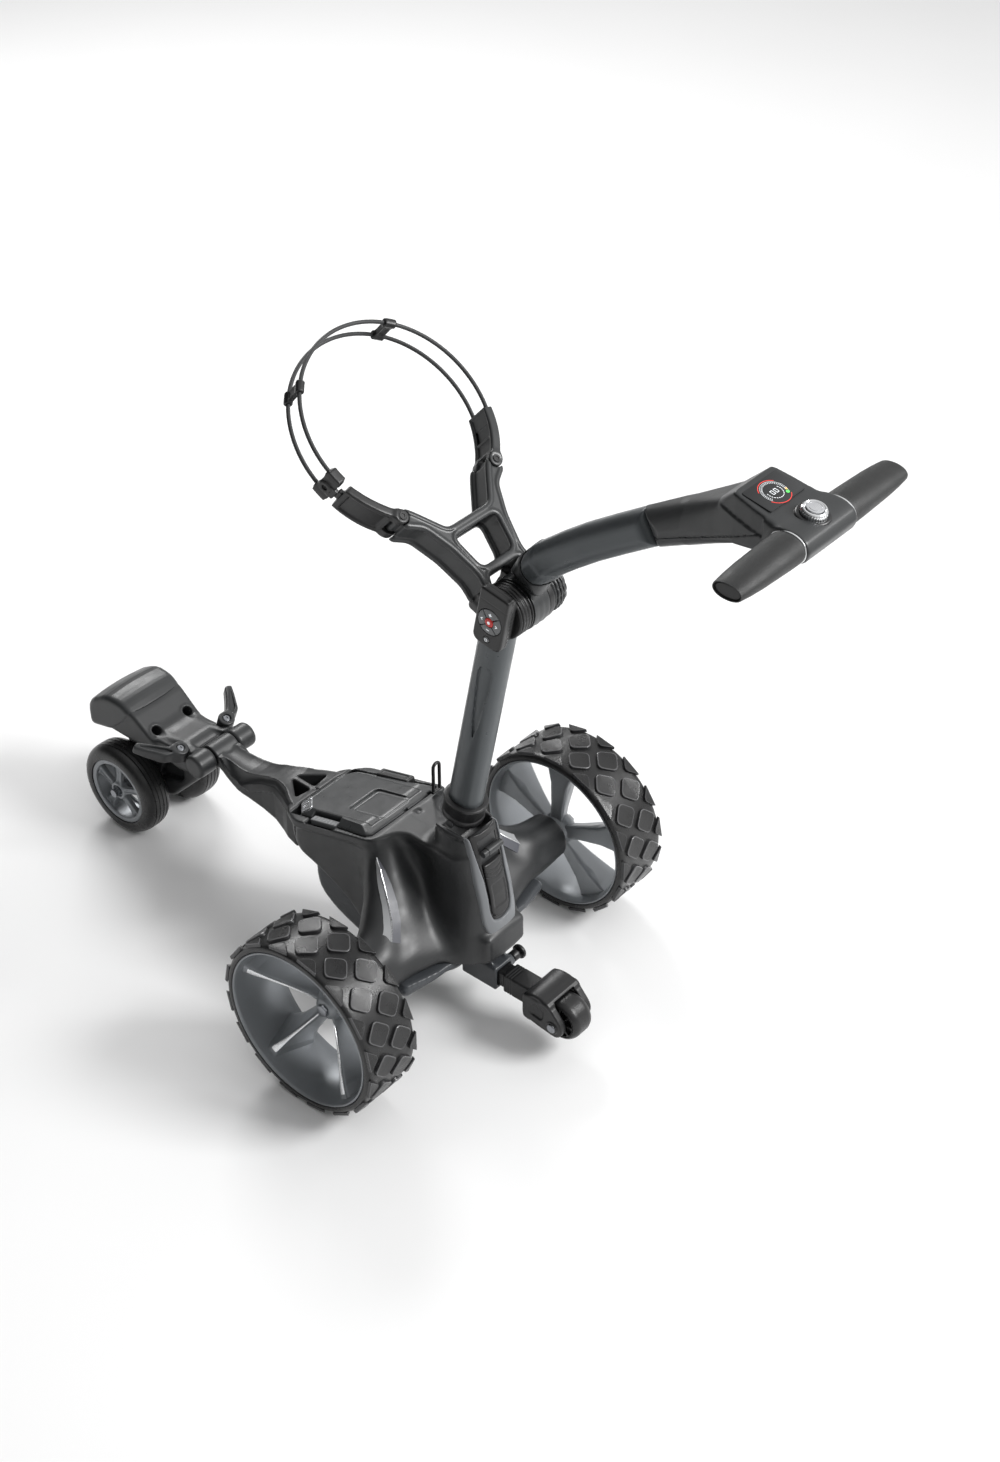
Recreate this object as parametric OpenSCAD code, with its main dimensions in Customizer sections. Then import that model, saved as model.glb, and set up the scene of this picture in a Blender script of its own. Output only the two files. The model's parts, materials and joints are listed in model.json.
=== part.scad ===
// Electric golf trolley with folding mast, twin front wheels and a bag hoop.
// +X right, +Y forwards, +Z up. The origin is on the ground, in the middle of the footprint.

/* [Overall] */
// Height of the rear axle above the ground
rear_axle_z = 128; // [120:1:140]
// Distance from the rear axle forwards to the front axle
wheelbase = 581; // [560:1:600]
// Distance from the rear axle back to the tee handle
handle_reach = 500.4; // [480:1:510]
// Overall width across the rear tyres
track_outer = 590; // [580:1:600]

/* [Wheels] */
// Width of a rear tyre
rear_tyre_w = 86; // [80:1:90]
// Radius of the rear rim's outer wall
rear_rim_r = 114; // [110:1:116]
// Radius of a front wheel
front_wheel_r = 71.9; // [68:0.1:74]
// Width of a front tyre
front_tyre_w = 46; // [40:1:46]
// Sideways distance from the centre to the middle of a front tyre
front_wheel_x = 51; // [51:1:56]
// Number of spokes in every wheel
spokes = 5; // [5:1:6]

/* [Mast and handle] */
// Backward lean of the mast
mast_lean = 10.9; // [9:0.1:12]
// Width of the mast and handle tubes
tube_w = 38; // [34:1:40]
// Front-to-back depth of the mast and handle tubes
tube_d = 46; // [42:1:46]
// Distance along the mast from the fold pin to the upper joint
mast_len = 384; // [380:1:390]
// Half of the length of the tee handle
tee_half = 149; // [140:1:155]
// Height of the tee handle's axis
tee_z = 936.7; // [930:0.1:942]

/* [Bag supports] */
// Radius of the bag hoop's cords
hoop_r = 127; // [125:1:128]
// Thickness of one hoop cord
cord_d = 5; // [4:0.5:6]
// Tilt of the hoop
hoop_tilt = 40.9; // [38:0.1:42]
// Radius of each bag pin socket
socket_r = 7.5; // [6:0.5:8]
// Depth of each bag pin socket
socket_depth = 24; // [20:1:26]

/* [Hidden] */
$fn = 48;
run_gap = 0.05;

tee_half_depth = 22;
axle_y = -((wheelbase + front_wheel_r) - (handle_reach + tee_half_depth)) / 2;

rear_wheel_r = rear_axle_z;
wheel_inner_x = track_outer / 2 - rear_tyre_w;
axle_r = 8;
bearing_r = 16;
hub_x = wheel_inner_x - 3;

mast_pivot = [-22, 306];
mast_pin_r = 6;
barrel_off = -22;
barrel_r = 33;
knuckle_half = 13.5;
handle_pin_r = 6;

hoop_centre = [69.2, 849.3];
hoop_drop = 30;
eye_angle = 40;
paddle_end = 72;
frame_top = 7;
frame_bottom = -37;
eye_r = 128;

front_hinge = [429.7, 181];
rest_run = 48;
rest_rise = 37;
front_pin_r = 6;
antitip_y = -199;
antitip_z = 62;
antitip_r = 30;
pin_y = -82;
pin_z = 74;

lid_slope = 15.6;
lid_mid = [158, 232.5];

dark = [0.10, 0.11, 0.11];
tube_grey = [0.26, 0.28, 0.29];
mid_grey = [0.34, 0.35, 0.37];
black = [0.05, 0.05, 0.05];
silver = [0.72, 0.73, 0.74];
red = [0.8, 0.1, 0.1];

// ---------- placing helpers ----------

// Everything is drawn with the rear axle at Y = 0 and then moved to the shared origin
module placed() translate([0, axle_y, 0]) children();

// Upright along the mast, from the fold pin
module on_mast() translate([0, mast_pivot[0], mast_pivot[1]]) rotate([mast_lean, 0, 0]) children();

// In the plane of the upper hoop cord, Y away from the mast and Z along the hoop's axis
module on_hoop() translate([0, hoop_centre[0], hoop_centre[1]]) rotate([hoop_tilt, 0, 0]) children();

// On the battery lid, Z out of the lid
module on_lid() translate([0, lid_mid[0], lid_mid[1]]) rotate([-lid_slope, 0, 0]) children();

// A YZ outline pushed out along X
module slab(w, x = 0) translate([x, 0, 0]) rotate([90, 0, 90]) linear_extrude(w, center = true) children();

// A round bar along X
module bar(r, l, x = 0) translate([x, 0, 0]) rotate([0, 90, 0]) cylinder(r = r, h = l, center = true);

// A profile of [radius, x] turned about X
module turned(profile) rotate([0, 90, 0]) rotate_extrude($fn = 96) polygon(profile);

function oval_points(w, d, n = 32) = [for (i = [0:n - 1]) [w / 2 * cos(i * 360 / n), d / 2 * sin(i * 360 / n)]];

// An oval disc across X and the local Y
module oval(w, d, t = 1) linear_extrude(t, center = true) polygon(oval_points(w, d));

module both_sides() {
    children();
    mirror([1, 0, 0]) children();
}

// ---------- chassis ----------

// Corners of the body's section at a distance y forwards: half-widths, lowest and highest point
module body_slice(y, half_top, half_low, low, high) {
    translate([-half_top, y, high - 6]) cube([2 * half_top, 2, 6]);
    translate([-half_low, y, low]) cube([2 * half_low, 2, 6]);
}

module body_hull() hull() {
    body_slice(236, 60, 52, 150, 210);
    body_slice(84, 80, 84, 112, 255);
    body_slice(-44, 40, 66, 112, 244);
}

module column_hull(grow = 0) hull() {
    translate([0, -25, 298]) oval(72 + 2 * grow, 72 + 2 * grow);
    translate([0, -38, 210]) oval(88 + 2 * grow, 92 + 2 * grow);
    translate([0, -46, 113]) oval(118 + 2 * grow, 104 + 2 * grow);
}

module upper_body() placed() color(dark) difference() {
    union() {
        body_hull();
        column_hull();
        both_sides() hull() {
            translate([0, 0, rear_axle_z]) bar(34, 4, hub_x - 46);
            translate([40, -40, 113]) cube([20, 150, 80]);
        }
    }
    // Hollow inside for the motors
    translate([-68, -34, 100]) cube([136, 68, 62]);
    translate([0, 0, rear_axle_z]) bar(27, 400);
    translate([-200, -200, 0]) cube([400, 600, 112]);
    // Battery tray
    on_lid() translate([-62, -79, -86]) cube([124, 158, 200]);
    on_lid() translate([-72, -81, -8.4]) cube([144, 162, 40]);
    // Relief for the foot of the mast as it folds
    translate([0, mast_pivot[0], mast_pivot[1]]) {
        bar(30, 52);
        difference() {
            bar(44, 52);
            translate([-40, -60, -60]) cube([80, 48, 120]);
        }
        bar(mast_pin_r, 100);
    }
    // Window for the latch
    translate([-18.5, -100, 198]) cube([37, 32, 88]);
    // Socket for the frame catch
    translate([55, 72, 262]) bar(2.6, 30);
    both_sides() slab(60, 111.9) accent_outline(0.8);
}

module lower_body() placed() color(dark) difference() {
    union() {
        slab(164) polygon([[-60, 96], [-60, 111.6], [200, 111.6], [188, 100], [165, 84], [115, 66], [40, 54], [-30, 60]]);
        // Socket for the anti-tip arm
        translate([-17, -92, 52]) cube([34, 60, 36]);
    }
    translate([-76, -52, 66]) cube([152, 210, 60]);
    translate([-12.3, -200, 57.7]) cube([24.6, 250, 24.6]);
    translate([0, pin_y, pin_z]) bar(3.1, 30, 20);
    translate([0, 0, rear_axle_z]) bar(26.3, 500);
}

module front_arm() placed() color(dark) difference() {
    union() {
        hull() {
            translate([-42, 240, 160]) cube([84, 2, 46]);
            translate([-40, 275, 168]) cube([80, 2, 38]);
        }
        hull() {
            translate([-40, 275, 168]) cube([80, 2, 38]);
            translate([-24, 350, 164]) cube([48, 2, 36]);
        }
        hull() {
            translate([-24, 350, 164]) cube([48, 2, 36]);
            translate([-21, 408, 166]) cube([42, 2, 30]);
        }
        translate([0, front_hinge[0], front_hinge[1]]) bar(18, 42);
        slab(42) polygon([[405, 166], [405, 196], [429, 198], [429, 164]]);
    }
    translate([0, front_hinge[0], front_hinge[1]]) bar(front_pin_r, 60);
    for (side = [-1, 1])
        translate([side * 4, 250, 100]) linear_extrude(200)
            polygon([[0, 0], [side * 27, 2], [0, 34]]);
}

module axle_housings() placed() color(dark) both_sides() difference() {
    union() {
        translate([0, 0, rear_axle_z]) bar(26, 60, hub_x - 30);
        translate([0, 0, rear_axle_z]) bar(22, 74, hub_x - 97);
    }
    translate([0, 0, rear_axle_z]) bar(axle_r + 1, 400);
    translate([0, 0, rear_axle_z]) bar(bearing_r, 12, hub_x - 6);
    translate([0, 0, rear_axle_z]) bar(bearing_r, 12, hub_x - 128);
}

module wheel_bearings() placed() color(silver) both_sides() {
    for (x = [hub_x - 7, hub_x - 128])
        translate([x, 0, rear_axle_z]) difference() {
            bar(bearing_r - 0.02, 9);
            bar(axle_r + run_gap, 20);
        }
}

module drive_motors() placed() color(silver) both_sides() translate([0, 0, rear_axle_z]) {
    difference() {
        bar(25.5, 56, 34);
        bar(4, 20, 57);
    }
    difference() {
        bar(3.95, 20, 57);
        bar(1, 60, 57);
    }
}

module controller_board() placed() color([0.1, 0.35, 0.15]) {
    translate([22, -40, 72]) cube([50, 96, 1.6]);
    translate([28, 10, 73.6]) cube([18, 18, 8]);
    translate([38, -26, 73.6]) cube([22, 26, 6]);
}

// Curved sliver let into each flank
module accent_outline(grow = 0) polygon([
    [60 - grow, 230 + grow], [66 + grow, 232 + grow], [58 + grow, 172],
    [50 + grow, 148 - grow], [44 - grow, 150 - grow], [52 - grow, 176]
]);

module side_accents() placed() color(silver) both_sides() slab(4, 84) accent_outline();

module latch_bezel() placed() color(mid_grey) difference() {
    translate([0, -85, 0]) rotate([90, 0, 0]) linear_extrude(22, center = true) difference() {
        union() {
            translate([-28, 172]) square([56, 118]);
            translate([0, 172]) circle(r = 28);
        }
        translate([-18.7, 176]) square([37.4, 130]);
        translate([0, 182]) circle(r = 18.7);
    }
    column_hull(0.3);
}

module hinge_pins() placed() color(silver) {
    translate([0, mast_pivot[0], mast_pivot[1]]) bar(mast_pin_r, 70);
    translate([0, front_hinge[0], front_hinge[1]]) bar(front_pin_r, 106);
    translate([0, -75, 276]) bar(5, 37);
}

module frame_catch() placed() color(black) {
    translate([55, 72, 262]) {
        bar(2.5, 17);
        for (side = [-1, 1]) translate([side * 6, 0, 0]) cylinder(r = 2.3, h = 40);
        translate([0, 0, 40]) rotate([90, 0, 0]) difference() {
            rotate_extrude() translate([6, 0]) circle(r = 2.3, $fn = 24);
            translate([-10, -20, -10]) cube([20, 20, 20]);
        }
    }
}

// ---------- battery ----------

module lid_outline() polygon([
    [-38, 79], [-58, 59], [-67, -72], [-61, -79], [61, -79], [67, -72], [58, 59], [38, 79]
]);

module battery_case() placed() color(black) on_lid() difference() {
    translate([-58, -76, -78]) cube([116, 152, 69]);
    translate([-54, -72, -74]) cube([108, 144, 80]);
}

module battery_lid() placed() color([0.2, 0.21, 0.22]) on_lid() difference() {
    translate([0, 0, -8]) linear_extrude(9) lid_outline();
    translate([-18, -74, -1.5]) cube([52, 74, 10]);
    // Recess for the release button
    translate([-80, -17, -10]) cube([34, 54, 20]);
}

module battery_cells() placed() color([0.2, 0.4, 0.6]) on_lid()
    for (i = [0:3], j = [0:6])
        translate([-36 + 24 * i, -62 + 20.5 * j, -72]) cylinder(r = 9.2, h = 60, $fn = 24);

module battery_button() placed() color(mid_grey) on_lid()
    translate([-65, -15, -7]) cube([14, 50, 7.5]);

// ---------- latch ----------

module latch_lever() placed() color(black) difference() {
    slab(36) polygon([[-82, 200], [-96, 198], [-90, 262], [-77, 262]]);
    translate([0, -86, 204]) bar(2, 60);
}

// ---------- mast ----------

module tube_solid(z0, z1, w, d) translate([0, 0, (z0 + z1) / 2]) oval(w, d, z1 - z0);

module mast_tube() placed() color(tube_grey) on_mast() difference() {
    union() {
        tube_solid(0, mast_len - 34, tube_w, tube_d);
        bar(14, 24);
        translate([-12, -14, 0]) cube([24, 28, 20]);
    }
    tube_solid(26, mast_len, tube_w - 5, tube_d - 5);
    bar(mast_pin_r + run_gap, 60);
}

module mast_collar() placed() color(black) on_mast() difference() {
    tube_solid(2, 34, 49, 56);
    tube_solid(0, 40, tube_w + 0.2, tube_d + 0.2);
    bar(mast_pin_r + 1, 60);
}

module joint_barrel() placed() color(black) on_mast() difference() {
    union() {
        for (x = [-26.2, 19]) translate([0, barrel_off, mast_len]) bar(barrel_r, x < 0 ? 24 : 10, x);
        hull() {
            translate([0, 0, mast_len - 36]) oval(46, 50, 8);
            translate([-38, -6, mast_len - 20]) cube([62, 30, 12]);
        }
        translate([-38, 0, mast_len - 20]) cube([23.6, 26, 30]);
        // Clip that the handset slides on to
        translate([-44.4, barrel_off - 19, mast_len - 27]) cube([8, 34, 60]);
        translate([14, 0, mast_len - 20]) cube([10, 26, 30]);
    }
    translate([0, barrel_off, mast_len]) {
        bar(handle_pin_r, 100);
        bar(barrel_r + 1, 28.4, 0);
    }
    tube_solid(mast_len - 60, mast_len - 34, tube_w + 0.1, tube_d + 0.1);
    // The root of the handle swings past here
    translate([-14.2, -120, mast_len - 70]) cube([28.4, 98, 80]);
}

module handle_pivot_pin() placed() color(silver) on_mast()
    translate([0, barrel_off, mast_len]) bar(handle_pin_r, 62, -7);

// Point on a circle round the hoop's centre; the angle is zero towards the mast
function hoop_point(r, a) = [r * sin(a), -r * cos(a)];

module eye(side, r) translate(hoop_point(eye_r, side * eye_angle)) circle(r = r);

// Outline of the forked upper bag support, seen along the hoop's axis
module fork_outline() {
    difference() {
        polygon([
            [-43, -222], [-40, -200], [-50, -160], [-66, -124], [-88, -111],
            [-73, -89.5], [-62, -102], [-36, -136], [36, -136], [62, -102], [73, -89.5],
            [88, -111], [66, -124], [50, -160], [40, -200], [43, -222], [31, -222],
            [27, -208], [-27, -208], [-31, -222]
        ]);
        polygon([[-27, -196], [-36, -150], [36, -150], [27, -196]]);
    }
    eye(-1, 9);
    eye(1, 9);
}

module bag_frame() placed() color(dark) difference() {
    on_hoop() {
        difference() {
            translate([0, 0, frame_bottom]) linear_extrude(frame_top - frame_bottom) fork_outline();
            // Seats above and below for the paddles' eyes
            for (z = [-60, -2.7]) translate([0, 0, z]) linear_extrude(34.7) {
                eye(-1, 10);
                eye(1, 10);
            }
        }
        translate([0, 0, frame_bottom]) linear_extrude(frame_top - frame_bottom) {
            eye(-1, 3);
            eye(1, 3);
        }
    }
    // Seat on the barrel
    on_mast() translate([0, barrel_off, mast_len]) bar(barrel_r + 0.1, 200);
    on_mast() translate([-20, -200, mast_len - 200]) cube([40, 176, 400]);
    on_mast() translate([-39, -1, mast_len - 21]) cube([64, 28, 32]);
}

// ---------- height dial ----------

module height_dial() placed() color(black) on_mast() translate([0, barrel_off, mast_len]) difference() {
    union() {
        bar(31, 20, 35);
        for (a = [0:15:345]) rotate([a, 0, 0]) translate([35, 0, 30.5]) cube([20, 3.4, 4], center = true);
    }
    bar(handle_pin_r + run_gap, 60, 0);
}

// ---------- handle ----------

// Centre line of the handle tube: distance back, height and slope
handle_path = [[-139, 733, 58], [-160, 755, 42], [-221, 804, 38], [-300, 857, 33]];

function beside(p, d) = [p[0] + d * sin(p[2]), p[1] + d * cos(p[2])];

module handle_ring(p, w, d) translate([0, p[0], p[1]]) rotate([90 - p[2], 0, 0]) oval(w, d, 2);

module handle_tube() placed() color(tube_grey) difference() {
    union() {
        slab(tube_w) polygon(concat(
            [for (p = handle_path) beside(p, tube_d / 2 - 1)],
            [for (i = [3:-1:0]) beside(handle_path[i], 1 - tube_d / 2)]
        ));
        on_mast() translate([0, barrel_off, mast_len]) bar(barrel_r, 2 * knuckle_half + 4);
        on_mast() translate([0, barrel_off, mast_len]) rotate([15, 0, 0])
            translate([-knuckle_half - 1, -16, 10]) cube([2 * knuckle_half + 2, 34, 60]);
    }
    on_mast() translate([0, barrel_off, mast_len]) bar(handle_pin_r + run_gap, 60);
    on_mast() translate([0, barrel_off, mast_len]) for (side = [-1, 1])
        bar(barrel_r + 1.5, 30, side * (knuckle_half + 15));
}

module console_housing() placed() color(dark) difference() {
    union() {
        hull() {
            handle_ring([-302.5, 858.6, 33], 44, 50);
            handle_ring([-352, 886, 28], 50, 56);
            slab(66) polygon([[-400, 890], [-428, 962], [-470, 954], [-470, 916]]);
        }
        slab(76) polygon([[-428, 912], [-428, 962], [-478, 952], [-478, 920]]);
        slab(84) polygon([[-478, 920], [-478, 952], [-521, 944], [-521, 928]]);
    }
    translate([0, -handle_reach, tee_z]) bar(12.1, 200);
    translate([0, -450, 962]) rotate([11, 0, 0]) translate([-27, -18, -6]) cube([54, 36, 20]);
}

module console_screen() placed() color(black)
    translate([0, -450, 962]) rotate([11, 0, 0]) translate([-26.8, -17.8, -5.9]) cube([53.6, 35.6, 5]);

module tee_core() placed() color(silver) translate([0, -handle_reach, tee_z]) bar(12, 2 * tee_half - 10);

module grip(side) difference() {
    hull() {
        translate([side * 47, 0, 0]) rotate([0, 90, 0]) oval(34, 44, 2);
        translate([side * 120, 0, 0]) rotate([0, 90, 0]) oval(27, 42, 2);
        translate([side * (tee_half - 1), 0, 0]) rotate([0, 90, 0]) oval(20, 36, 2);
    }
    bar(12.05, 2 * tee_half - 9.9);
}

module grips() placed() color(black) translate([0, -handle_reach, tee_z]) {
    grip(1);
    grip(-1);
}

module grip_rings() placed() color(silver) translate([0, -handle_reach, tee_z]) for (side = [-1, 1])
    translate([side * 44.1, 0, 0]) rotate([0, 90, 0]) difference() {
        oval(35, 45, 3);
        cylinder(r = 12.05, h = 20, center = true);
    }

// Dial on top of the console, its axis leaning with the console
module on_dial() translate([0, -498, 948.5]) rotate([10, 0, 0]) children();

module dial_base() placed() color(black) difference() {
    on_dial() difference() {
        cylinder(r = 19, h = 7);
        translate([0, 0, 1]) cylinder(r = 15.3, h = 10);
        translate([0, 0, -1]) cylinder(r = 4.05, h = 10);
    }
    translate([-50, -521, 920]) rotate([10.5, 0, 0]) cube([100, 44, 24.8]);
}

module control_dial() placed() color(silver) on_dial() difference() {
    union() {
        translate([0, 0, 2]) cylinder(r = 15, h = 12);
    }
    translate([0, 0, 10]) cylinder(r = 10.3, h = 10);
}

module dial_button() placed() color(mid_grey) on_dial()
    translate([0, 0, 12]) cylinder(r = 10, h = 3);

// ---------- hoop ----------

// Band of a paddle between two radii, as an outline along the hoop
module paddle_band(side, low, high) polygon(concat(
    [for (a = [eye_angle + 2:5:paddle_end]) hoop_point(high, side * a)],
    [for (a = [paddle_end:-5:eye_angle + 2]) hoop_point(low, side * a)]
));

// Curved paddle on one side, with an eye above and below the frame's own
module paddle(side) on_hoop() difference() {
    union() {
        translate([0, 0, frame_bottom]) linear_extrude(frame_top - frame_bottom)
            paddle_band(side, 121, 133);
        translate([0, 0, frame_bottom]) linear_extrude(frame_top - frame_bottom) eye(side, 9);
    }
    translate([0, 0, -60]) linear_extrude(100) eye(side, 3 + run_gap);
    translate([0, 0, -25.3]) linear_extrude(22.6) eye(side, 11);
}

module paddle_left() placed() color(dark) paddle(-1);

module paddle_right() placed() color(dark) difference() {
    paddle(1);
    on_hoop() cord_arcs(cord_d + 0.1);
}

hook_angle = -78;

module cord_arcs(d) for (z = [0, -hoop_drop]) translate([0, 0, z])
    rotate([0, 0, paddle_end - 90 - 6])
        rotate_extrude(angle = 360 + hook_angle - paddle_end + 6 - 4, $fn = 96)
            translate([hoop_r, 0]) circle(d = d, $fn = 24);

module hoop_cords() placed() color(black) on_hoop() cord_arcs(cord_d);

module hoop_fittings() placed() color(black) on_hoop() difference() {
    union() {
        for (a = [145, -134]) rotate([0, 0, a]) translate([0, -hoop_r, -hoop_drop / 2])
            cube([14, 8, hoop_drop + 10], center = true);
        rotate([0, 0, hook_angle - 2.5]) translate([0, -hoop_r, -hoop_drop / 2])
            cube([15, 14, hoop_drop + 12], center = true);
    }
    cord_arcs(cord_d + 0.1);
}

// ---------- handset ----------

module on_handset() on_mast() translate([-44.6, -24, mast_len + 3]) rotate([0, -90, 0]) children();

// Handset body: local X up the mast, local Y forwards, local Z out to the left
module remote_handset() placed() color(black) on_handset() difference() {
    union() {
        translate([-34, -22, 0]) cube([68, 44, 14]);
        translate([-40, -16, 0]) cube([80, 32, 14]);
        for (a = [-34, 34], b = [-16, 16]) translate([a, b, 0]) cylinder(r = 6, h = 14);
    }
    translate([-2, 0, 11]) cylinder(r = 17.3, h = 10);
    translate([-29, 0, 11]) cylinder(r = 4.3, h = 10);
}

module remote_keypad() placed() color(mid_grey) on_handset() translate([-2, 0, 12]) difference() {
    cylinder(r = 17, h = 3.4);
    translate([0, 0, -1]) cylinder(r = 6.3, h = 10);
    for (a = [45, 135]) rotate([0, 0, a]) translate([-20, -1, 1.5]) cube([40, 2, 10]);
}

module remote_stop_button() placed() color(red) on_handset() translate([-2, 0, 12]) cylinder(r = 6, h = 4);

module remote_power_button() placed() color(mid_grey) on_handset() translate([-29, 0, 12]) cylinder(r = 4, h = 3);

// ---------- lower bag support ----------

module bag_rest_housing() placed() color(dark) difference() {
    union() {
        // Block behind the slanted face
        slab(104) polygon([[512, 172], [512 + rest_run, 172 + rest_rise], [600, 208], [640, 184], [640, 166], [560, 158], [520, 156]]);
        // Leg between the wheels
        slab(50) polygon([[446, 166], [470, 190], [520, 180], [600, 160], [602, 72], [590, 56], [566, 56], [500, 110], [452, 150]]);
        // Cheeks round the hinge
        for (side = [-1, 1]) {
            slab(14, side * 32) polygon([[430, 163], [430, 199], [470, 196], [520, 180], [520, 160], [470, 150]]);
            translate([0, front_hinge[0], front_hinge[1]]) bar(18, 31.8, side * 38.2);
        }
        slab(78) polygon([[456, 156], [456, 192], [470, 195], [520, 180], [520, 156], [480, 150]]);
    }
    translate([0, front_hinge[0], front_hinge[1]]) bar(front_pin_r + run_gap, 200);
    translate([0, wheelbase, front_wheel_r]) bar(6, 200);
    translate([0, front_hinge[0], front_hinge[1]]) bar(20, 44.6);
    for (side = [-1, 1]) translate([side * 30, 528.4, 172 + 16.4 * rest_rise / rest_run])
        rotate([atan(rest_rise / rest_run), 0, 0])
            translate([0, 0, -socket_depth]) cylinder(r = socket_r, h = socket_depth + 40);
    // Slots for the wings
    for (side = [-1, 1]) translate([side * 45, 466, 186]) wing_axis() translate([0, 0, 1])
        cylinder(r = 12.4, h = 30, center = true);
}

module bag_rest_pad() placed() color(tube_grey) slab(108)
    polygon([[561, 209.6], [600, 208.6], [640.5, 184.3], [640.5, 174], [647, 176], [645, 194], [604, 219], [568, 219]]);

module front_axle() placed() color(silver) translate([0, wheelbase, front_wheel_r]) bar(6, 158);

module wing_axis() rotate([20, 0, 0]) children();

module wing(side) translate([side * 45, 466, 186]) wing_axis() difference() {
    union() {
        cylinder(r = 12, h = 22, center = true);
        translate([side * 4, 0, -11]) linear_extrude(22)
            polygon([[0, -6], [side * 22, 6], [side * 36, 30], [side * 46, 42], [side * 36, 42], [side * 24, 26], [side * 8, 11], [0, 10]]);
    }
    cylinder(r = 3, h = 60, center = true);
}

module wing_left() placed() color(dark) wing(-1);

module wing_right() placed() color(dark) wing(1);

module front_tyre(side) placed() color(black) translate([side * front_wheel_x, wheelbase, front_wheel_r])
    turned([
        for (a = [-90:15:90]) [front_wheel_r - 12 + 12 * cos(a), front_tyre_w / 2 * sin(a)],
        [51.5, front_tyre_w / 2 - 3], [51.5, 3 - front_tyre_w / 2]
    ]);

module front_rim(side) placed() color(mid_grey) translate([side * front_wheel_x, wheelbase, front_wheel_r]) {
    turned([[46, -20], [51.4, -20], [51.4, 20], [46, 20], [44.5, 0]]);
    difference() {
        union() {
            bar(13, 40);
            for (i = [0:spokes - 1]) rotate([i * 360 / spokes, 0, 0]) slab(9, side * 6)
                polygon([[-5, 8], [5, 8], [8, 45.5], [-8, 45.5]]);
        }
        bar(6 + run_gap, 60);
    }
}

module front_tyre_left() front_tyre(-1);

module front_tyre_right() front_tyre(1);

module front_rim_left() front_rim(-1);

module front_rim_right() front_rim(1);

// ---------- rear wheels ----------

module on_rear_wheel(side) translate([side * (wheel_inner_x + rear_tyre_w / 2), 0, rear_axle_z]) children();

module rear_tyre(side) placed() color(black) on_rear_wheel(side) turned([
    [rear_rim_r + 0.1, -43], [121, -43], [rear_wheel_r - 1, -36], [rear_wheel_r, -34],
    [rear_wheel_r, -14], [rear_wheel_r - 4, -13], [rear_wheel_r - 4, -11], [rear_wheel_r, -10],
    [rear_wheel_r, 10], [rear_wheel_r - 4, 11], [rear_wheel_r - 4, 13], [rear_wheel_r, 14],
    [rear_wheel_r, 34], [rear_wheel_r - 1, 36], [121, 43], [rear_rim_r + 0.1, 43]
]);

// Outline of one forked spoke, from the valley beside it and round its end
rear_spoke = [[-9, 60], [-26, 109], [-10, 111.5], [0, 84], [10, 111.5], [26, 109], [9, 60]];

function turned_point(p, a) = [p[0] * cos(a) - p[1] * sin(a), p[0] * sin(a) + p[1] * cos(a)];

// Deep barrel with the spokes near its inner edge
module rear_rim(side) placed() color(mid_grey) on_rear_wheel(side) mirror([side > 0 ? 0 : 1, 0, 0]) {
    turned([[rear_rim_r - 4, -42], [rear_rim_r, -42], [rear_rim_r, 42], [rear_rim_r - 4, 42]]);
    difference() {
        union() {
            turned([[0, -40], [20, -40], [24, -20], [16, 0], [0, 0]]);
            slab(12, -26) polygon([
                for (i = [0:spokes - 1]) each concat(
                    [turned_point([0, 18.7], -(i - 0.5) * 360 / spokes)],
                    [for (p = rear_spoke) turned_point(p, -i * 360 / spokes)]
                )
            ]);
        }
        bar(axle_r + 0.02, 200);
    }
}

module axle(side) placed() color(silver) translate([0, 0, rear_axle_z]) {
    bar(axle_r, wheel_inner_x + 36 - 70, side * (wheel_inner_x + 36 + 70) / 2);
}

module rear_tyre_left() rear_tyre(-1);

module rear_tyre_right() rear_tyre(1);

module rear_rim_left() rear_rim(-1);

module rear_rim_right() rear_rim(1);

module axle_left() axle(-1);

module axle_right() axle(1);

// ---------- anti-tip wheel ----------

module antitip_arm() placed() color(black) difference() {
    union() {
        translate([-12, -150, 58]) cube([24, 150, 24]);
        translate([-15, -150, 55]) cube([30, 48, 30]);
    }
    // Groove that the pull pin runs in
    translate([7.5, pin_y - 3.6, pin_z - 3.4]) cube([10, 54, 6.8]);
}

module antitip_fork() placed() color(black) difference() {
    union() {
        translate([-32, -162, 52]) cube([64, 12, 40]);
        for (side = [-1, 1]) slab(10, side * 26)
            polygon([[-150, 92], [-150, 56], [-188, 50], [-210, 50], [-214, 70], [-190, 94]]);
    }
    translate([0, antitip_y, antitip_z]) bar(4, 100);
}

module antitip_wheel() placed() color(black) translate([0, antitip_y, antitip_z]) difference() {
    turned([[4, -18], [24, -18], [antitip_r, -10], [antitip_r, 10], [24, 18], [4, 18]]);
    bar(4 + run_gap, 60);
}

module antitip_axle() placed() color(silver) translate([0, antitip_y, antitip_z]) {
    bar(4, 62);
    bar(7, 4, -33);
    bar(7, 4, 33);
}

// Inner end of the pin, inside the socket, and the knob that draws it
pin_split = 17.5;

module pull_pin() placed() color(black) translate([0, pin_y, pin_z])
    bar(3, pin_split - 8, (pin_split + 8) / 2);

module pull_knob() placed() color(black) translate([0, pin_y, pin_z]) {
    bar(3, 38 - pin_split, (38 + pin_split) / 2);
    bar(7.5, 10, 33);
    bar(10.5, 6, 43);
    bar(5, 8, 39);
}

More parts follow.
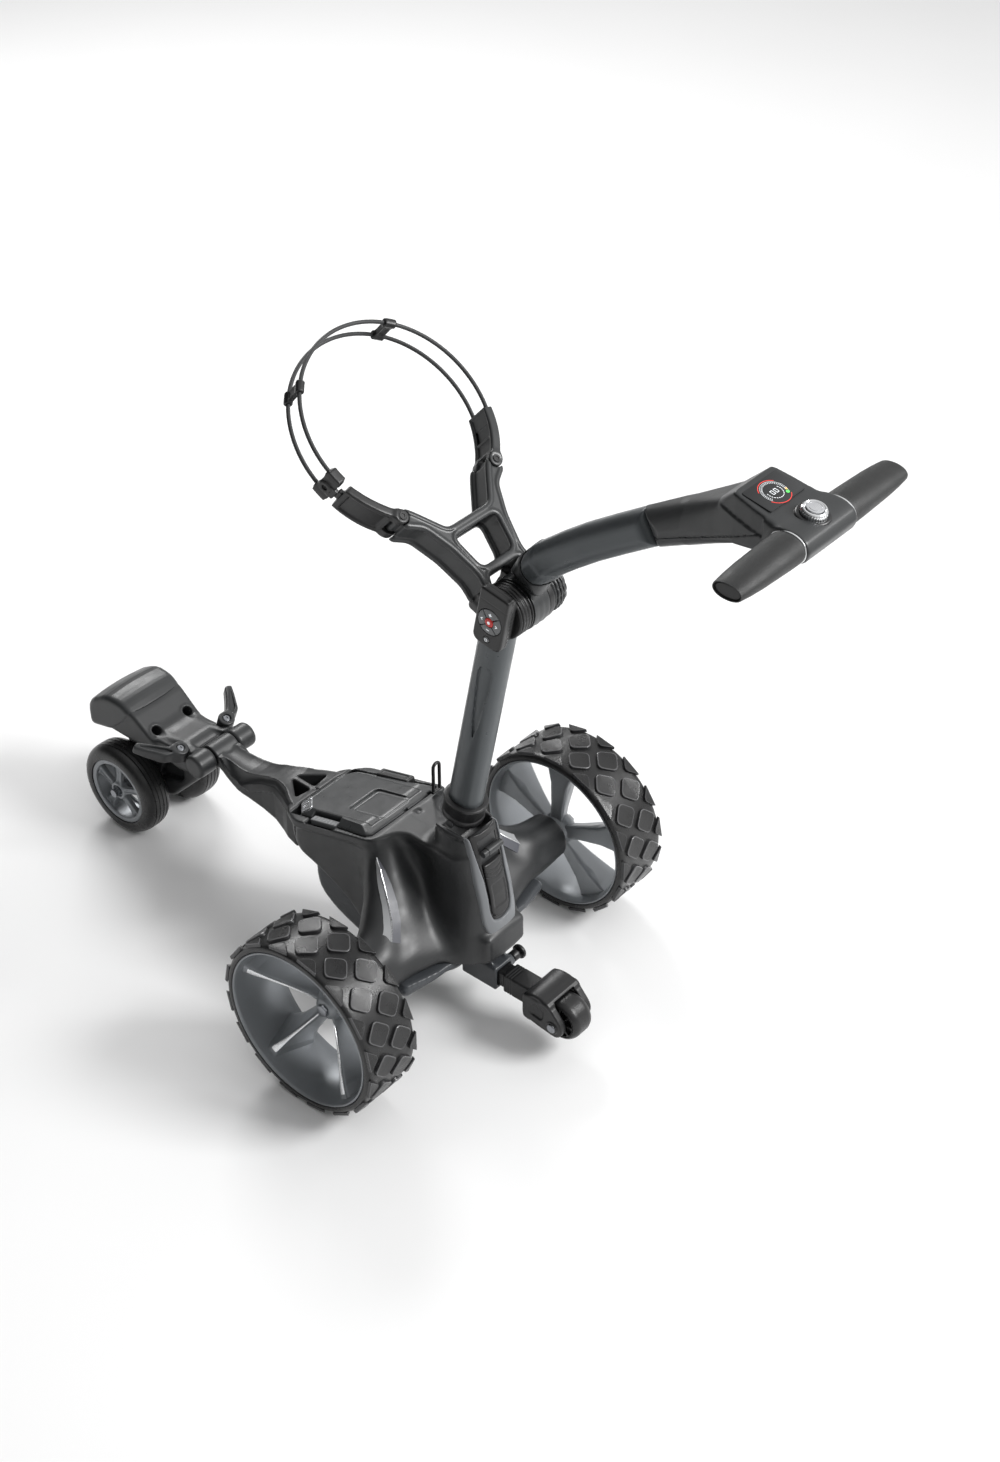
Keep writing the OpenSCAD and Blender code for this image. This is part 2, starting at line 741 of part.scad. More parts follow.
lower_body();
upper_body();
front_arm();
axle_housings();
wheel_bearings();
drive_motors();
controller_board();
side_accents();
latch_bezel();
hinge_pins();
frame_catch();
battery_case();
battery_lid();
battery_cells();
battery_button();
latch_lever();
mast_tube();
mast_collar();
joint_barrel();
handle_pivot_pin();
bag_frame();
height_dial();
handle_tube();
console_housing();
console_screen();
tee_core();
grips();
grip_rings();
dial_base();
control_dial();
dial_button();
paddle_left();
paddle_right();
hoop_cords();
hoop_fittings();
remote_handset();
remote_keypad();
remote_stop_button();
remote_power_button();
bag_rest_housing();
bag_rest_pad();
front_axle();
wing_left();
wing_right();
front_tyre_left();
front_tyre_right();
front_rim_left();
front_rim_right();
rear_tyre_left();
rear_tyre_right();
rear_rim_left();
rear_rim_right();
axle_left();
axle_right();
antitip_arm();
antitip_fork();
antitip_wheel();
antitip_axle();
pull_pin();
pull_knob();
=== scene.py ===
"""Looks of an electric golf trolley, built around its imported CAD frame.

Shapes are drawn in millimetres in small local frames (trolley, mast, hoop, lid, dial, handset), whose
origins come from the frame's joints and boxes, and are turned into metres in the shared frame as each
mesh is made. Moulded shells are distance fields on a grid, so that they blend and fillet like castings.
"""
import functools
import json
import math

import bmesh
import bpy
import numpy as np
import openvdb
from mathutils import Matrix, Vector


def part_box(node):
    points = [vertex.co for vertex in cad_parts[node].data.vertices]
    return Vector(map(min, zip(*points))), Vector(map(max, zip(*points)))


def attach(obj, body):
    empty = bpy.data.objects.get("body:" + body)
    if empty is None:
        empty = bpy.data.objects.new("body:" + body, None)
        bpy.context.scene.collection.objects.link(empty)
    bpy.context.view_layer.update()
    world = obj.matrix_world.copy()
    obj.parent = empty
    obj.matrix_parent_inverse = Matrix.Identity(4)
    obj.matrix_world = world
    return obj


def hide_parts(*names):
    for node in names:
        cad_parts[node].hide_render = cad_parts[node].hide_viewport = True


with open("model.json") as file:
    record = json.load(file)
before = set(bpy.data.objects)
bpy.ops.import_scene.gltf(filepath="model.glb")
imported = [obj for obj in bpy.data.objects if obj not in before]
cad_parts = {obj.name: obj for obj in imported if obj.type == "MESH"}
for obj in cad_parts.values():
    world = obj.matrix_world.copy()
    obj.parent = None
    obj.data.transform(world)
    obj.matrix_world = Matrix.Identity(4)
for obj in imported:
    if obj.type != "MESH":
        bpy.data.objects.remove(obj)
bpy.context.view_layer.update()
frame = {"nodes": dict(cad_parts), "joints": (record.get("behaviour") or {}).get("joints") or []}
joints = {j["name"]: j for j in frame["joints"]}


# ---------- local frames ----------

MM = 0.001
SIDES = ((-1, "left"), (1, "right"))
MAST_LEN = 384  # from the fold axis to the middle of the upper joint
LEAN = 10.9  # tilts are in degrees
HOOP_TILT = 40.9
LID_TILT = -15.6
DIAL_TILT = 10.0
DISPLAY_TILT = 11
WING_TILT = 20
# Places on the trolley's middle plane, as Y and Z
HOOP_AT = (69.2, 849.3)
LID_AT = (158, 232.5)
BARREL_AT = (-116.2, 678.9)
TEE_AT = (-500.4, 936.7)
DISPLAY_AT = (-450, 962)
MAST_FOOT_AT = (-22, 306)
HINGE_AT = (429.7, 181)
WING_AT = (466, 186)
PULL_PIN_AT = (-82, 74)
ANTITIP_AT = (-199, 62)
# Places on the handset's face, as X
STOP_AT = -2
POWER_AT = -29


def middle(node):
    low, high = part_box(node)
    return (low + high) / 2


def tilted(origin, degrees):
    return Matrix.Translation(origin) @ Matrix.Rotation(math.radians(degrees), 4, "X") @ Matrix.Scale(MM, 4)


def shifted(matrix, x, y, z, turn=0.0, axis="X"):
    return matrix @ Matrix.Translation((x, y, z)) @ Matrix.Rotation(math.radians(turn), 4, axis)


AXLE = middle("axle_left")
TROLLEY = tilted((0, AXLE.y, 0), 0)
MAST = tilted(joints["mast_fold"]["pos_m"], LEAN)
HOOP = shifted(TROLLEY, 0, *HOOP_AT, HOOP_TILT)
LID = shifted(TROLLEY, 0, *LID_AT, LID_TILT)
DIAL = shifted(TROLLEY, 0, -498, 948.5, DIAL_TILT)
BARREL = shifted(MAST, 0, -22, MAST_LEN)
HANDSET = shifted(BARREL, -44.6, -2, 3, -90, "Y")
TEE = shifted(TROLLEY, 0, *TEE_AT)
ALONG_X = Matrix.Rotation(math.radians(90), 4, "Y")  # turns what points along Z
UPRIGHT = Matrix.Rotation(math.radians(-90), 4, "Y")  # stands up what points along X
FRONT_AXLE_Y = (middle("front_axle").y - AXLE.y) / MM
FRONT_AXLE_Z = middle("front_axle").z / MM
AXLE_Z = AXLE.z / MM
WHEEL_X = middle("rear_tyre_right").x / MM
FRONT_X = middle("front_tyre_right").x / MM


def mirrored_place(side, *at):
    """A place on the trolley whose X points outwards on both sides."""
    return TROLLEY @ Matrix.Translation(at) @ Matrix.Diagonal((side, 1, 1, 1))


def seen_from(origin_y, origin_z, tilt, y, z):
    """Trolley coordinates (y, z) as coordinates along and out of a plane tilted about X."""
    c, s = math.cos(math.radians(tilt)), math.sin(math.radians(tilt))
    dy, dz = y - origin_y, z - origin_z
    return dy * c + dz * s, dz * c - dy * s


# ---------- materials ----------


class Nodes:
    """A short way to write a material's node tree."""

    def __init__(self, name, colour, rough, metallic=0.0, specular=0.5):
        self.material = bpy.data.materials.new(name)
        self.material.use_nodes = True
        self.material.diffuse_color = (*colour, 1)
        self.tree = self.material.node_tree
        self.shader = self.tree.nodes["Principled BSDF"]
        self.shader.inputs["Base Color"].default_value = (*colour, 1)
        self.shader.inputs["Roughness"].default_value = rough
        self.shader.inputs["Metallic"].default_value = metallic
        self.shader.inputs["Specular IOR Level"].default_value = specular
        self.coords = self.tree.nodes.new("ShaderNodeTexCoord").outputs["Object"]

    def noise(self, scale, detail=2.0, stretch=None):
        node = self.tree.nodes.new("ShaderNodeTexNoise")
        node.inputs["Scale"].default_value = scale
        node.inputs["Detail"].default_value = detail
        coords = self.coords
        if stretch:
            mapping = self.tree.nodes.new("ShaderNodeMapping")
            mapping.inputs["Scale"].default_value = stretch
            self.tree.links.new(coords, mapping.inputs["Vector"])
            coords = mapping.outputs["Vector"]
        self.tree.links.new(coords, node.inputs["Vector"])
        return node.outputs["Fac"]

    def cells(self, scale):
        node = self.tree.nodes.new("ShaderNodeTexVoronoi")
        node.inputs["Scale"].default_value = scale
        self.tree.links.new(self.coords, node.inputs["Vector"])
        return node.outputs["Distance"]

    def spread(self, value, low, high, out_low, out_high):
        node = self.tree.nodes.new("ShaderNodeMapRange")
        for key, number in zip(("From Min", "From Max", "To Min", "To Max"), (low, high, out_low, out_high)):
            node.inputs[key].default_value = number
        self.tree.links.new(value, node.inputs["Value"])
        return node.outputs["Result"]

    def mix(self, factor, a, b):
        node = self.tree.nodes.new("ShaderNodeMix")
        node.data_type = "RGBA"
        for socket, value in ((node.inputs[6], a), (node.inputs[7], b)):
            if isinstance(value, tuple):
                socket.default_value = (*value, 1)
            else:
                self.tree.links.new(value, socket)
        self.tree.links.new(factor, node.inputs[0])
        return node.outputs[2]

    def edges(self, low, high):
        geometry = self.tree.nodes.new("ShaderNodeNewGeometry")
        return self.spread(geometry.outputs["Pointiness"], low, high, 0.0, 1.0)

    def paint(self, colour):
        self.tree.links.new(colour, self.shader.inputs["Base Color"])

    def roughen(self, value):
        self.tree.links.new(value, self.shader.inputs["Roughness"])

    def bump(self, height, depth, strength=1.0):
        node = self.tree.nodes.new("ShaderNodeBump")
        node.inputs["Distance"].default_value = depth
        node.inputs["Strength"].default_value = strength
        self.tree.links.new(height, node.inputs["Height"])
        self.tree.links.new(node.outputs["Normal"], self.shader.inputs["Normal"])


def shade(colour, factor):
    return tuple(min(1.0, c * factor) for c in colour)


def moulded(name, colour, rough, grain=1400.0, depth=0.00003, wear=0.1, specular=0.5):
    """Injection-moulded plastic: spark-eroded grain, faint flow marks and rubbed edges."""
    n = Nodes(name, colour, rough, specular=specular)
    flow = n.spread(n.noise(9.0, 3.0), 0.3, 0.7, 0.0, 1.0)
    base = n.mix(flow, shade(colour, 0.92), shade(colour, 1.08))
    n.paint(n.mix(n.edges(0.53, 0.62), base, shade(colour, 1 + 2.2 * wear)))
    n.roughen(n.spread(n.noise(60.0, 4.0), 0.3, 0.7, rough - 0.03, rough + 0.05))
    n.bump(n.noise(grain, 3.0), depth)
    return n.material


def painted(name, colour, rough, flake=2600.0):
    """Satin powder coat on a tube: fine orange peel and sparse darker and lighter flakes."""
    n = Nodes(name, colour, rough, metallic=0.35)
    peel = n.noise(700.0, 2.0)
    flakes = n.spread(n.noise(flake, 1.0), 0.35, 0.7, 0.0, 1.0)
    n.paint(n.mix(flakes, shade(colour, 0.95), shade(colour, 1.08)))
    n.roughen(n.spread(n.noise(35.0, 4.0), 0.3, 0.7, rough - 0.05, rough + 0.07))
    n.bump(peel, 0.00005)
    return n.material


def rubber(name, colour, rough, grain=900.0, depth=0.00012, dust=0.25):
    """Tyre and grip rubber: pebbled skin, with a trace of dust in the low places, and a painted highlight on sharp
    edges.
    """
    n = Nodes(name, colour, rough, specular=0.45)
    patches = n.spread(n.noise(14.0, 5.0), 0.42, 0.72, 0.0, dust)
    dusty = n.mix(patches, colour, (0.055, 0.053, 0.050))
    # sharp edges found by pointiness are painted four times lighter: a painted highlight for the gloss on lug and grip
    # edges
    n.paint(n.mix(n.edges(0.53, 0.60), dusty, shade(colour, 4.0)))
    n.roughen(n.spread(n.noise(40.0, 4.0), 0.3, 0.7, rough - 0.08, rough + 0.1))
    n.bump(n.cells(grain), depth)
    return n.material


def metal(name, colour, rough, stretch=(60.0, 900.0, 900.0)):
    """Turned or brushed metal: long fine scratches and slightly uneven polish."""
    n = Nodes(name, colour, rough, metallic=1.0)
    lines = n.noise(1.0, 4.0, stretch)
    n.paint(n.mix(n.spread(n.noise(25.0), 0.3, 0.7, 0.0, 1.0), shade(colour, 0.9), colour))
    n.roughen(n.spread(lines, 0.3, 0.7, max(0.03, rough - 0.07), rough + 0.1))
    n.bump(lines, 0.00002)
    return n.material


def glowing(name, colour, strength):
    n = Nodes(name, colour, 0.3)
    n.shader.inputs["Emission Color"].default_value = (*colour, 1)
    n.shader.inputs["Emission Strength"].default_value = strength
    n.paint(n.mix(n.noise(800.0), shade(colour, 0.85), colour))
    return n.material


BODY = moulded("body_graphite", (0.021, 0.022, 0.023), 0.39)
TRIM = moulded("fork_graphite", (0.025, 0.0265, 0.0275), 0.35, grain=1700.0)
BLACK = moulded("black_moulding", (0.007, 0.007, 0.0075), 0.36, wear=0.2)
SKIRT = moulded("skirt_grey", (0.045, 0.049, 0.054), 0.36)
LID_GREY = moulded("lid_gunmetal", (0.034, 0.036, 0.037), 0.30, grain=2200.0, depth=0.000008, wear=0.05)
BEZEL = moulded("bezel_grey", (0.150, 0.157, 0.165), 0.34, grain=2200.0, depth=0.00003)
TUBE = painted("tube_graphite", (0.075, 0.083, 0.088), 0.32)
RIM = painted("rim_grey", (0.245, 0.258, 0.272), 0.36)
TYRE = rubber("tyre_rubber", (0.009, 0.009, 0.0095), 0.30, dust=0.10)
# a lighter copy of the tyre rubber for the lugs' rims: a painted highlight on the lug edges
TYRE_EDGE_HIGHLIGHT = rubber("tyre_edge", (0.034, 0.034, 0.035), 0.20, dust=0.0)
GRIP = rubber("grip_rubber", (0.013, 0.0135, 0.0135), 0.48, grain=1300.0, depth=0.0002, dust=0.05)
CORD = rubber("cord_rubber", (0.030, 0.031, 0.032), 0.5, grain=2500.0, depth=0.00008, dust=0.05)
# silver trim, also laid on the lid's front-left corner chamfer as a painted highlight
SILVER_AND_HIGHLIGHT = metal("silver_trim", (0.74, 0.75, 0.77), 0.22)
# two colours for the two facets of the silver wing fins: painted light on the front facet, painted shade on the rear
# facet
ACCENT_LIT = moulded("accent_facet_painted_light", (0.24, 0.245, 0.25), 0.42, grain=2200.0, depth=0.00001)
ACCENT_SHADED = moulded("accent_back", (0.045, 0.047, 0.058), 0.36, grain=2200.0, depth=0.00001)
# bright metal for the spoke inlays, also laid along the wing fins' ridge as a painted highlight
BRIGHT = metal("bright_inlay_and_ridge_highlight", (0.80, 0.81, 0.82), 0.28)
CHROME = metal("chrome", (0.86, 0.87, 0.88), 0.10)
STEEL = metal("steel", (0.30, 0.31, 0.33), 0.3)
KEYS = moulded("key_grey", (0.16, 0.165, 0.17), 0.38, grain=2600.0, depth=0.00003)
GLASS = moulded("screen_glass", (0.016, 0.017, 0.018), 0.14, grain=300.0, depth=0.000004, wear=0.0)
RED = moulded("stop_red", (0.62, 0.022, 0.018), 0.30, grain=2200.0, depth=0.00003, wear=0.1)
BOARD = moulded("circuit_green", (0.02, 0.11, 0.05), 0.45)
CELL = moulded("cell_blue", (0.04, 0.13, 0.32), 0.4)
# white that glows, for the display's marks and, as a painted glow, for the printed marks on the remote
WHITE_GLOW = glowing("gauge_white", (0.75, 0.78, 0.8), 0.5)
RED_MARK = glowing("gauge_red", (0.75, 0.05, 0.04), 0.6)
GREEN_MARK = glowing("gauge_green", (0.1, 0.7, 0.12), 0.8)
AMBER_MARK = glowing("gauge_amber", (0.9, 0.4, 0.05), 0.8)


# ---------- meshes ----------


def piece(name, verts, faces, place, body, material, nodes=(), slot=None, crease=35.0, outward=False):
    """Makes a mesh from points in millimetres, moves it to its place and lets it ride on a CAD body.

    The named nodes give way to it. Faces are turned outwards, unless they are known to point that way.
    """
    mesh = bpy.data.meshes.new(name)
    points = np.asarray(verts, np.float64)
    m = np.array(place, np.float64)
    points = points @ m[:3, :3].T + m[:3, 3]
    mesh.from_pydata(points.tolist(), [], [list(f) for f in faces])
    if not outward:
        tidy = bmesh.new()
        tidy.from_mesh(mesh)
        bmesh.ops.recalc_face_normals(tidy, faces=tidy.faces)
        tidy.to_mesh(mesh)
        tidy.free()
    obj = bpy.data.objects.new(name, mesh)
    bpy.context.scene.collection.objects.link(obj)
    mesh.materials.append(material)
    mesh.shade_smooth()
    mesh.set_sharp_from_angle(angle=math.radians(crease))
    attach(obj, body)
    if nodes:
        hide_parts(*nodes)
    return obj


def joined(*parts):
    """Several (verts, faces) pairs as one."""
    verts, faces, base = [], [], 0
    for part_verts, part_faces in parts:
        verts.append(np.asarray(part_verts, float))
        faces += [[i + base for i in f] for f in part_faces]
        base += len(part_verts)
    return np.vstack(verts), faces


def moved(part, matrix):
    verts, faces = part
    m = np.array(matrix, float)
    return np.asarray(verts, float) @ m[:3, :3].T + m[:3, 3], faces


def skin(rings, n, wrap=False):
    """Quads between rings of n points each, and from the last ring to the first if they wrap."""
    faces = []
    for i in range(rings if wrap else rings - 1):
        j = (i + 1) % rings
        faces += [(i * n + k, i * n + (k + 1) % n, j * n + (k + 1) % n, j * n + k) for k in range(n)]
    return faces


def capped(rings, n):
    """The same quads with a face on the first and on the last ring."""
    return skin(rings, n) + [tuple(range(n))[::-1], tuple(range((rings - 1) * n, rings * n))]


def circle(radius, n, x=0.0, y=0.0):
    return [(x + radius * math.cos(a), y + radius * math.sin(a)) for a in np.arange(n) * 2 * math.pi / n]


def stacked(profile, n, x=0.0):
    """Rings for swept(), from a profile of (z, radius)."""
    return [[(*p, z) for p in circle(r, n, x)] for z, r in profile]


def turned(profile, segments=96, closed=True):
    """A profile of (x, radius) turned about X. A closed profile makes a ring, an open one is capped."""
    n = len(profile)
    angles = np.arange(segments) * 2 * math.pi / segments
    verts = [(x, r * math.cos(a), r * math.sin(a)) for x, r in profile for a in angles]
    faces = skin(n, segments, wrap=closed)
    if not closed:
        faces.append(tuple(range(segments)))
        faces.append(tuple(range((n - 1) * segments, n * segments)))
    return verts, faces


def rounded(points, radius, steps=4):
    """An outline with each corner cut back by radius and rounded."""
    out = []
    n = len(points)
    pts = [np.asarray(p, float) for p in points]
    for i in range(n):
        here, before, after = pts[i], pts[i - 1], pts[(i + 1) % n]
        r = radius[i] if isinstance(radius, (list, tuple)) else radius
        to_before, to_after = before - here, after - here
        a = here + to_before * min(0.46, r / max(np.linalg.norm(to_before), 1e-9))
        b = here + to_after * min(0.46, r / max(np.linalg.norm(to_after), 1e-9))
        for t in np.linspace(0, 1, steps):
            out.append((1 - t) ** 2 * a + 2 * t * (1 - t) * here + t * t * b)
    return out


def plate(outline, low, high, bevel=0.0):
    """An outline in XY pushed from low to high, its two rims bevelled in two steps."""
    pts = np.array(outline, float)
    if np.sum(pts[:, 0] * np.roll(pts[:, 1], -1) - pts[:, 1] * np.roll(pts[:, 0], -1)) < 0:
        pts = pts[::-1]
    edge = np.roll(pts, -1, 0) - pts
    normal = np.stack([edge[:, 1], -edge[:, 0]], 1)
    normal /= np.maximum(np.linalg.norm(normal, axis=1, keepdims=True), 1e-9)
    corner = normal + np.roll(normal, 1, 0)
    corner /= np.maximum(np.sum(corner * normal, 1, keepdims=True), 0.3)
    rings = [(low, bevel), (low + 0.3 * bevel, 0.3 * bevel), (low + bevel, 0.0)]
    rings += [(high - bevel, 0.0), (high - 0.3 * bevel, 0.3 * bevel), (high, bevel)]
    if bevel == 0:
        rings = [(low, 0.0), (high, 0.0)]
    verts = [(p[0], p[1], z) for z, inset in rings for p in pts - corner * inset]
    return verts, capped(len(rings), len(pts))


def swept(rings):
    """A skin over rings of points, closed at both ends."""
    return [tuple(p) for ring in rings for p in ring], capped(len(rings), len(rings[0]))


def oval(width, depth, power=2.0, n=48):
    """Points of a superellipse across X and Y."""
    out = []
    for i in range(n):
        a = 2 * math.pi * i / n
        c, s = math.cos(a), math.sin(a)
        x = math.copysign(abs(c) ** (2 / power), c) * width / 2
        y = math.copysign(abs(s) ** (2 / power), s) * depth / 2
        out.append((x, y))
    return out


# ---------- distance fields ----------


class Grid:
    def __init__(self, low, high, step):
        self.low, self.step = np.array(low, float), step
        axes = [np.arange(a, b + step, step, dtype=np.float32) for a, b in zip(low, high)]
        self.x, self.y, self.z = axes[0][:, None, None], axes[1][None, :, None], axes[2][None, None, :]
        self.ax = np.abs(self.x)
        self.shape = tuple(len(a) for a in axes)

    def mesh(self, field):
        """The surface where the field is zero, as points and quads."""
        band = 3 * self.step
        field = np.array(np.broadcast_to(field, self.shape), np.float32)
        for axis in range(3):
            edge = [slice(None)] * 3
            for end in (0, -1):
                edge[axis] = end
                field[tuple(edge)] = np.maximum(field[tuple(edge)], 0.4 * self.step)
        grid = openvdb.FloatGrid(background=band)
        grid.copyFromArray(np.clip(field, -band, band))
        points, quads = grid.convertToQuads(isovalue=0.0)
        return points * self.step + self.low, quads


def cast(name, g, field, place, body, material, slot, crease=45, nodes=None, flip=False):
    """A piece whose surface is where a field is zero. By default it replaces the node of its own name."""
    points, quads = g.mesh(field)
    if flip:
        quads = [q[::-1] for q in quads]
    nodes = [name] if nodes is None else nodes
    return piece(name, points, quads, place, body, material, nodes, slot, crease, outward=True)


def radial(a, b):
    return np.sqrt(a ** 2 + b ** 2)


def ring_distance(g, y=0.0, z=0.0):
    """Distance from a line along X."""
    return radial(g.y - y, g.z - z)


def common(*fields):
    """What lies inside all the fields, with sharp edges."""
    return functools.reduce(np.maximum, fields)


def polygon(a, b, outline):
    """Signed distance to an outline, in the plane of the coordinates a and b."""
    a, b = np.broadcast_arrays(a, b)
    best = np.full(a.shape, 1e9, np.float32)
    inside = np.ones(a.shape, np.float32)
    pts = [(float(p[0]), float(p[1])) for p in outline]
    for i, (px, py) in enumerate(pts):
        qx, qy = pts[i - 1]
        ex, ey = qx - px, qy - py
        wx, wy = a - px, b - py
        t = np.clip((wx * ex + wy * ey) / max(ex * ex + ey * ey, 1e-9), 0, 1)
        best = np.minimum(best, (wx - ex * t) ** 2 + (wy - ey * t) ** 2)
        c1, c2, c3 = b >= py, b < qy, ex * wy > ey * wx
        flip = (c1 & c2 & c3) | (~c1 & ~c2 & ~c3)
        inside = np.where(flip, -inside, inside)
    return inside * np.sqrt(best)


def profiled(g, outline, radius):
    """Distance to a rounded outline in the YZ plane."""
    return polygon(g.y, g.z, rounded(outline, radius))


def planned(g, outline, radius):
    """Distance to a rounded outline in the XY plane."""
    return polygon(g.x, g.y, rounded(outline, radius))


def union(a, b, k=0.0):
    if not k:
        return np.minimum(a, b)
    h = np.maximum(k - np.abs(a - b), 0) / k
    return np.minimum(a, b) - h * h * k * 0.25


def meet(a, b, k=0.0):
    return -union(-a, -b, k)


def cut(a, b, k=0.0):
    return meet(a, -b, k)


def relaxed(field, passes):
    """A field smoothed by repeated small averages along each axis, which irons out a blended surface."""
    out = np.array(field, np.float32)
    for _ in range(passes):
        for axis in range(3):
            padded = np.take(out, [0], axis), out, np.take(out, [-1], axis)
            long = np.concatenate(padded, axis)
            n = out.shape[axis]
            before, after = [slice(None)] * 3, [slice(None)] * 3
            before[axis], after[axis] = slice(0, n), slice(2, n + 2)
            out = 0.5 * out + 0.25 * (long[tuple(before)] + long[tuple(after)])
    return out


def finer(field):
    """The same field sampled at half the step."""
    for axis in range(3):
        n = field.shape[axis]
        shape = list(field.shape)
        shape[axis] = 2 * n - 1
        out = np.empty(shape, np.float32)
        even, odd, before, after = ([slice(None)] * 3 for _ in range(4))
        even[axis], odd[axis] = slice(0, None, 2), slice(1, None, 2)
        before[axis], after[axis] = slice(0, n - 1), slice(1, n)
        out[tuple(even)] = field
        out[tuple(odd)] = (field[tuple(before)] + field[tuple(after)]) / 2
        field = out
    return field


def sampled(g, field, points):
    """Field values at points, read linearly between the grid's nodes."""
    place = (np.asarray(points, float) - g.low) / g.step
    cell = np.clip(np.floor(place).astype(int), 0, np.array(field.shape) - 2)
    t = place - cell
    total = 0
    for corner in np.ndindex(2, 2, 2):
        weight = np.prod(np.where(corner, t, 1 - t), axis=-1)
        at = cell + corner
        total = total + weight * field[at[..., 0], at[..., 1], at[..., 2]]
    return total


def walled(flat, across, half, r=0.0):
    """A flat field given a thickness, with rounded rims."""
    a, b = flat + r, np.abs(across) - half + r
    inner = np.minimum(np.maximum(a, b), 0)
    return inner + radial(np.maximum(a, 0), np.maximum(b, 0)) - r


def box_field(x, y, z, centre, half, r=0.0):
    q = [np.abs(c - m) - h + r for c, m, h in zip((x, y, z), centre, half)]
    outer = np.sqrt(sum(np.maximum(v, 0) ** 2 for v in q))
    return outer + np.minimum(common(q[0], q[1], q[2]), 0) - r


def block(g, centre, half, r=0.0):
    return box_field(g.x, g.y, g.z, centre, half, r)


def limb(x, y, z, p, q, r0, r1):
    """A round limb from p to q whose radius changes along it."""
    e = np.subtract(q, p)
    w = (x - p[0], y - p[1], z - p[2])
    t = np.clip((w[0] * e[0] + w[1] * e[1] + w[2] * e[2]) / float(e @ e), 0, 1)
    d = np.sqrt((w[0] - e[0] * t) ** 2 + (w[1] - e[1] * t) ** 2 + (w[2] - e[2] * t) ** 2)
    return d - (r0 + (r1 - r0) * t)


def along(value, stops, sizes):
    return np.interp(value, stops, sizes).astype(np.float32)


def scored(body, line, width, depth):
    """Cuts a groove of that width and depth into a body along the zero line of a field."""
    return np.maximum(body, -np.maximum(np.abs(line) - width / 2, -body - depth))


# ---------- rear wheels ----------

RIM_R = 114.0
TYRE_R = 128.0
TYRE_HALF = 43.0
LUG_ROWS = (-46.2, -15.4, 15.4, 46.2)  # axial places of the lugs
LUGS_ROUND = 16
LUG_SIDE = 28.5
LUG_HEIGHT = 4.0
TREAD_BASE = TYRE_R - LUG_HEIGHT
BLOCK_LEVELS = ((0.0, 1.03), (0.70, 1.0), (0.92, 0.975), (1.0, 0.93), (0.97, 0.82), (0.94, 0.74))
EDGE_LEVELS = ((0.80, 0.988), (0.93, 0.980), (1.03, 0.935), (1.01, 0.895), (0.90, 0.885), (0.80, 0.93))


def clipped(outline, low, high):
    """An outline cut to low <= x <= high."""
    for limit, keep in ((low, 1), (high, -1)):
        out = []
        for i, p in enumerate(outline):
            q = outline[i - 1]
            p_in, q_in = (p[0] - limit) * keep >= 0, (q[0] - limit) * keep >= 0
            if p_in != q_in:
                t = (limit - q[0]) / (p[0] - q[0])
                out.append((limit, q[1] + (p[1] - q[1]) * t))
            if p_in:
                out.append((float(p[0]), float(p[1])))
        outline = out
    return outline


def lug(x, arc, levels):
    """One tread block: a rounded square standing on its corner, wrapped round the tyre.

    Levels are pairs of a height and a share of the outline. Those of an edge close into a ring.
    """
    half = LUG_SIDE / math.sqrt(2)
    diamond = rounded([(0, -half), (half * 1.03, 0), (0, half), (-half * 1.03, 0)], 8.0, 6)
    limit = TYRE_HALF - 1.2
    outline = clipped([(p[0] + x, p[1]) for p in diamond], -limit, limit)
    centre = np.mean(outline, axis=0)
    n = len(outline)

    def on_tyre(place, r):
        r -= max(0.0, abs(place[0]) - 35.0) ** 2 * 0.012  # the shoulder falls away
        a = (arc + place[1]) / TREAD_BASE
        return place[0], r * math.cos(a), r * math.sin(a)

    verts = [on_tyre(centre + (np.asarray(p) - centre) * share, TREAD_BASE - 0.6 + height * (LUG_HEIGHT + 0.6))
             for height, share in levels for p in outline]
    if levels is EDGE_LEVELS:
        return verts, skin(len(levels), n, wrap=True)
    verts.append(on_tyre(centre, TREAD_BASE + 0.94 * LUG_HEIGHT))
    last = (len(levels) - 1) * n
    faces = skin(len(levels), n)
    faces += [(last + k, last + (k + 1) % n, len(verts) - 1) for k in range(n)]
    faces.append(tuple(range(n))[::-1])
    return verts, faces


def lugs(levels):
    pitch = 2 * math.pi * TREAD_BASE / LUGS_ROUND
    return [lug(x, (k + 0.5 * (row % 2)) * pitch, levels)
            for row, x in enumerate(LUG_ROWS) for k in range(LUGS_ROUND)]


def rear_tyre():
    profile = [(-41.5, RIM_R + 0.1), (-43.0, RIM_R + 1.5), (-43.0, 118.0), (-42.4, 120.4), (-41.0, 122.0)]
    profile += [(x, TREAD_BASE - max(0.0, abs(x) - 34) ** 2 * 0.012) for x in np.linspace(-38, 38, 17)]
    profile += [(-x, r) for x, r in profile[:5][::-1]]
    return joined(turned(profile, 192), *lugs(BLOCK_LEVELS))


def rear_barrel():
    """The rim's wall, with a rolled lip outside and a stepped bead inside."""
    return turned([
        (-42.6, 111.6), (-42.6, 113.2), (-41.6, 113.9), (41.6, 113.9), (42.6, 113.2), (42.6, 111.4),
        (41.4, 110.4), (39.0, 110.0), (20.0, 109.2), (-12.0, 108.0), (-30.0, 107.4), (-36.0, 108.6),
        (-39.4, 110.4), (-41.4, 110.7),
    ], 192)


def spoke_ridge(reach):
    """Axial place of a spoke's outer ridge: near the hub it lies deep, at the wall it comes out."""
    return along(reach, (12, 30, 60, 90, 112), (-13, -8, 6, 21, 31))


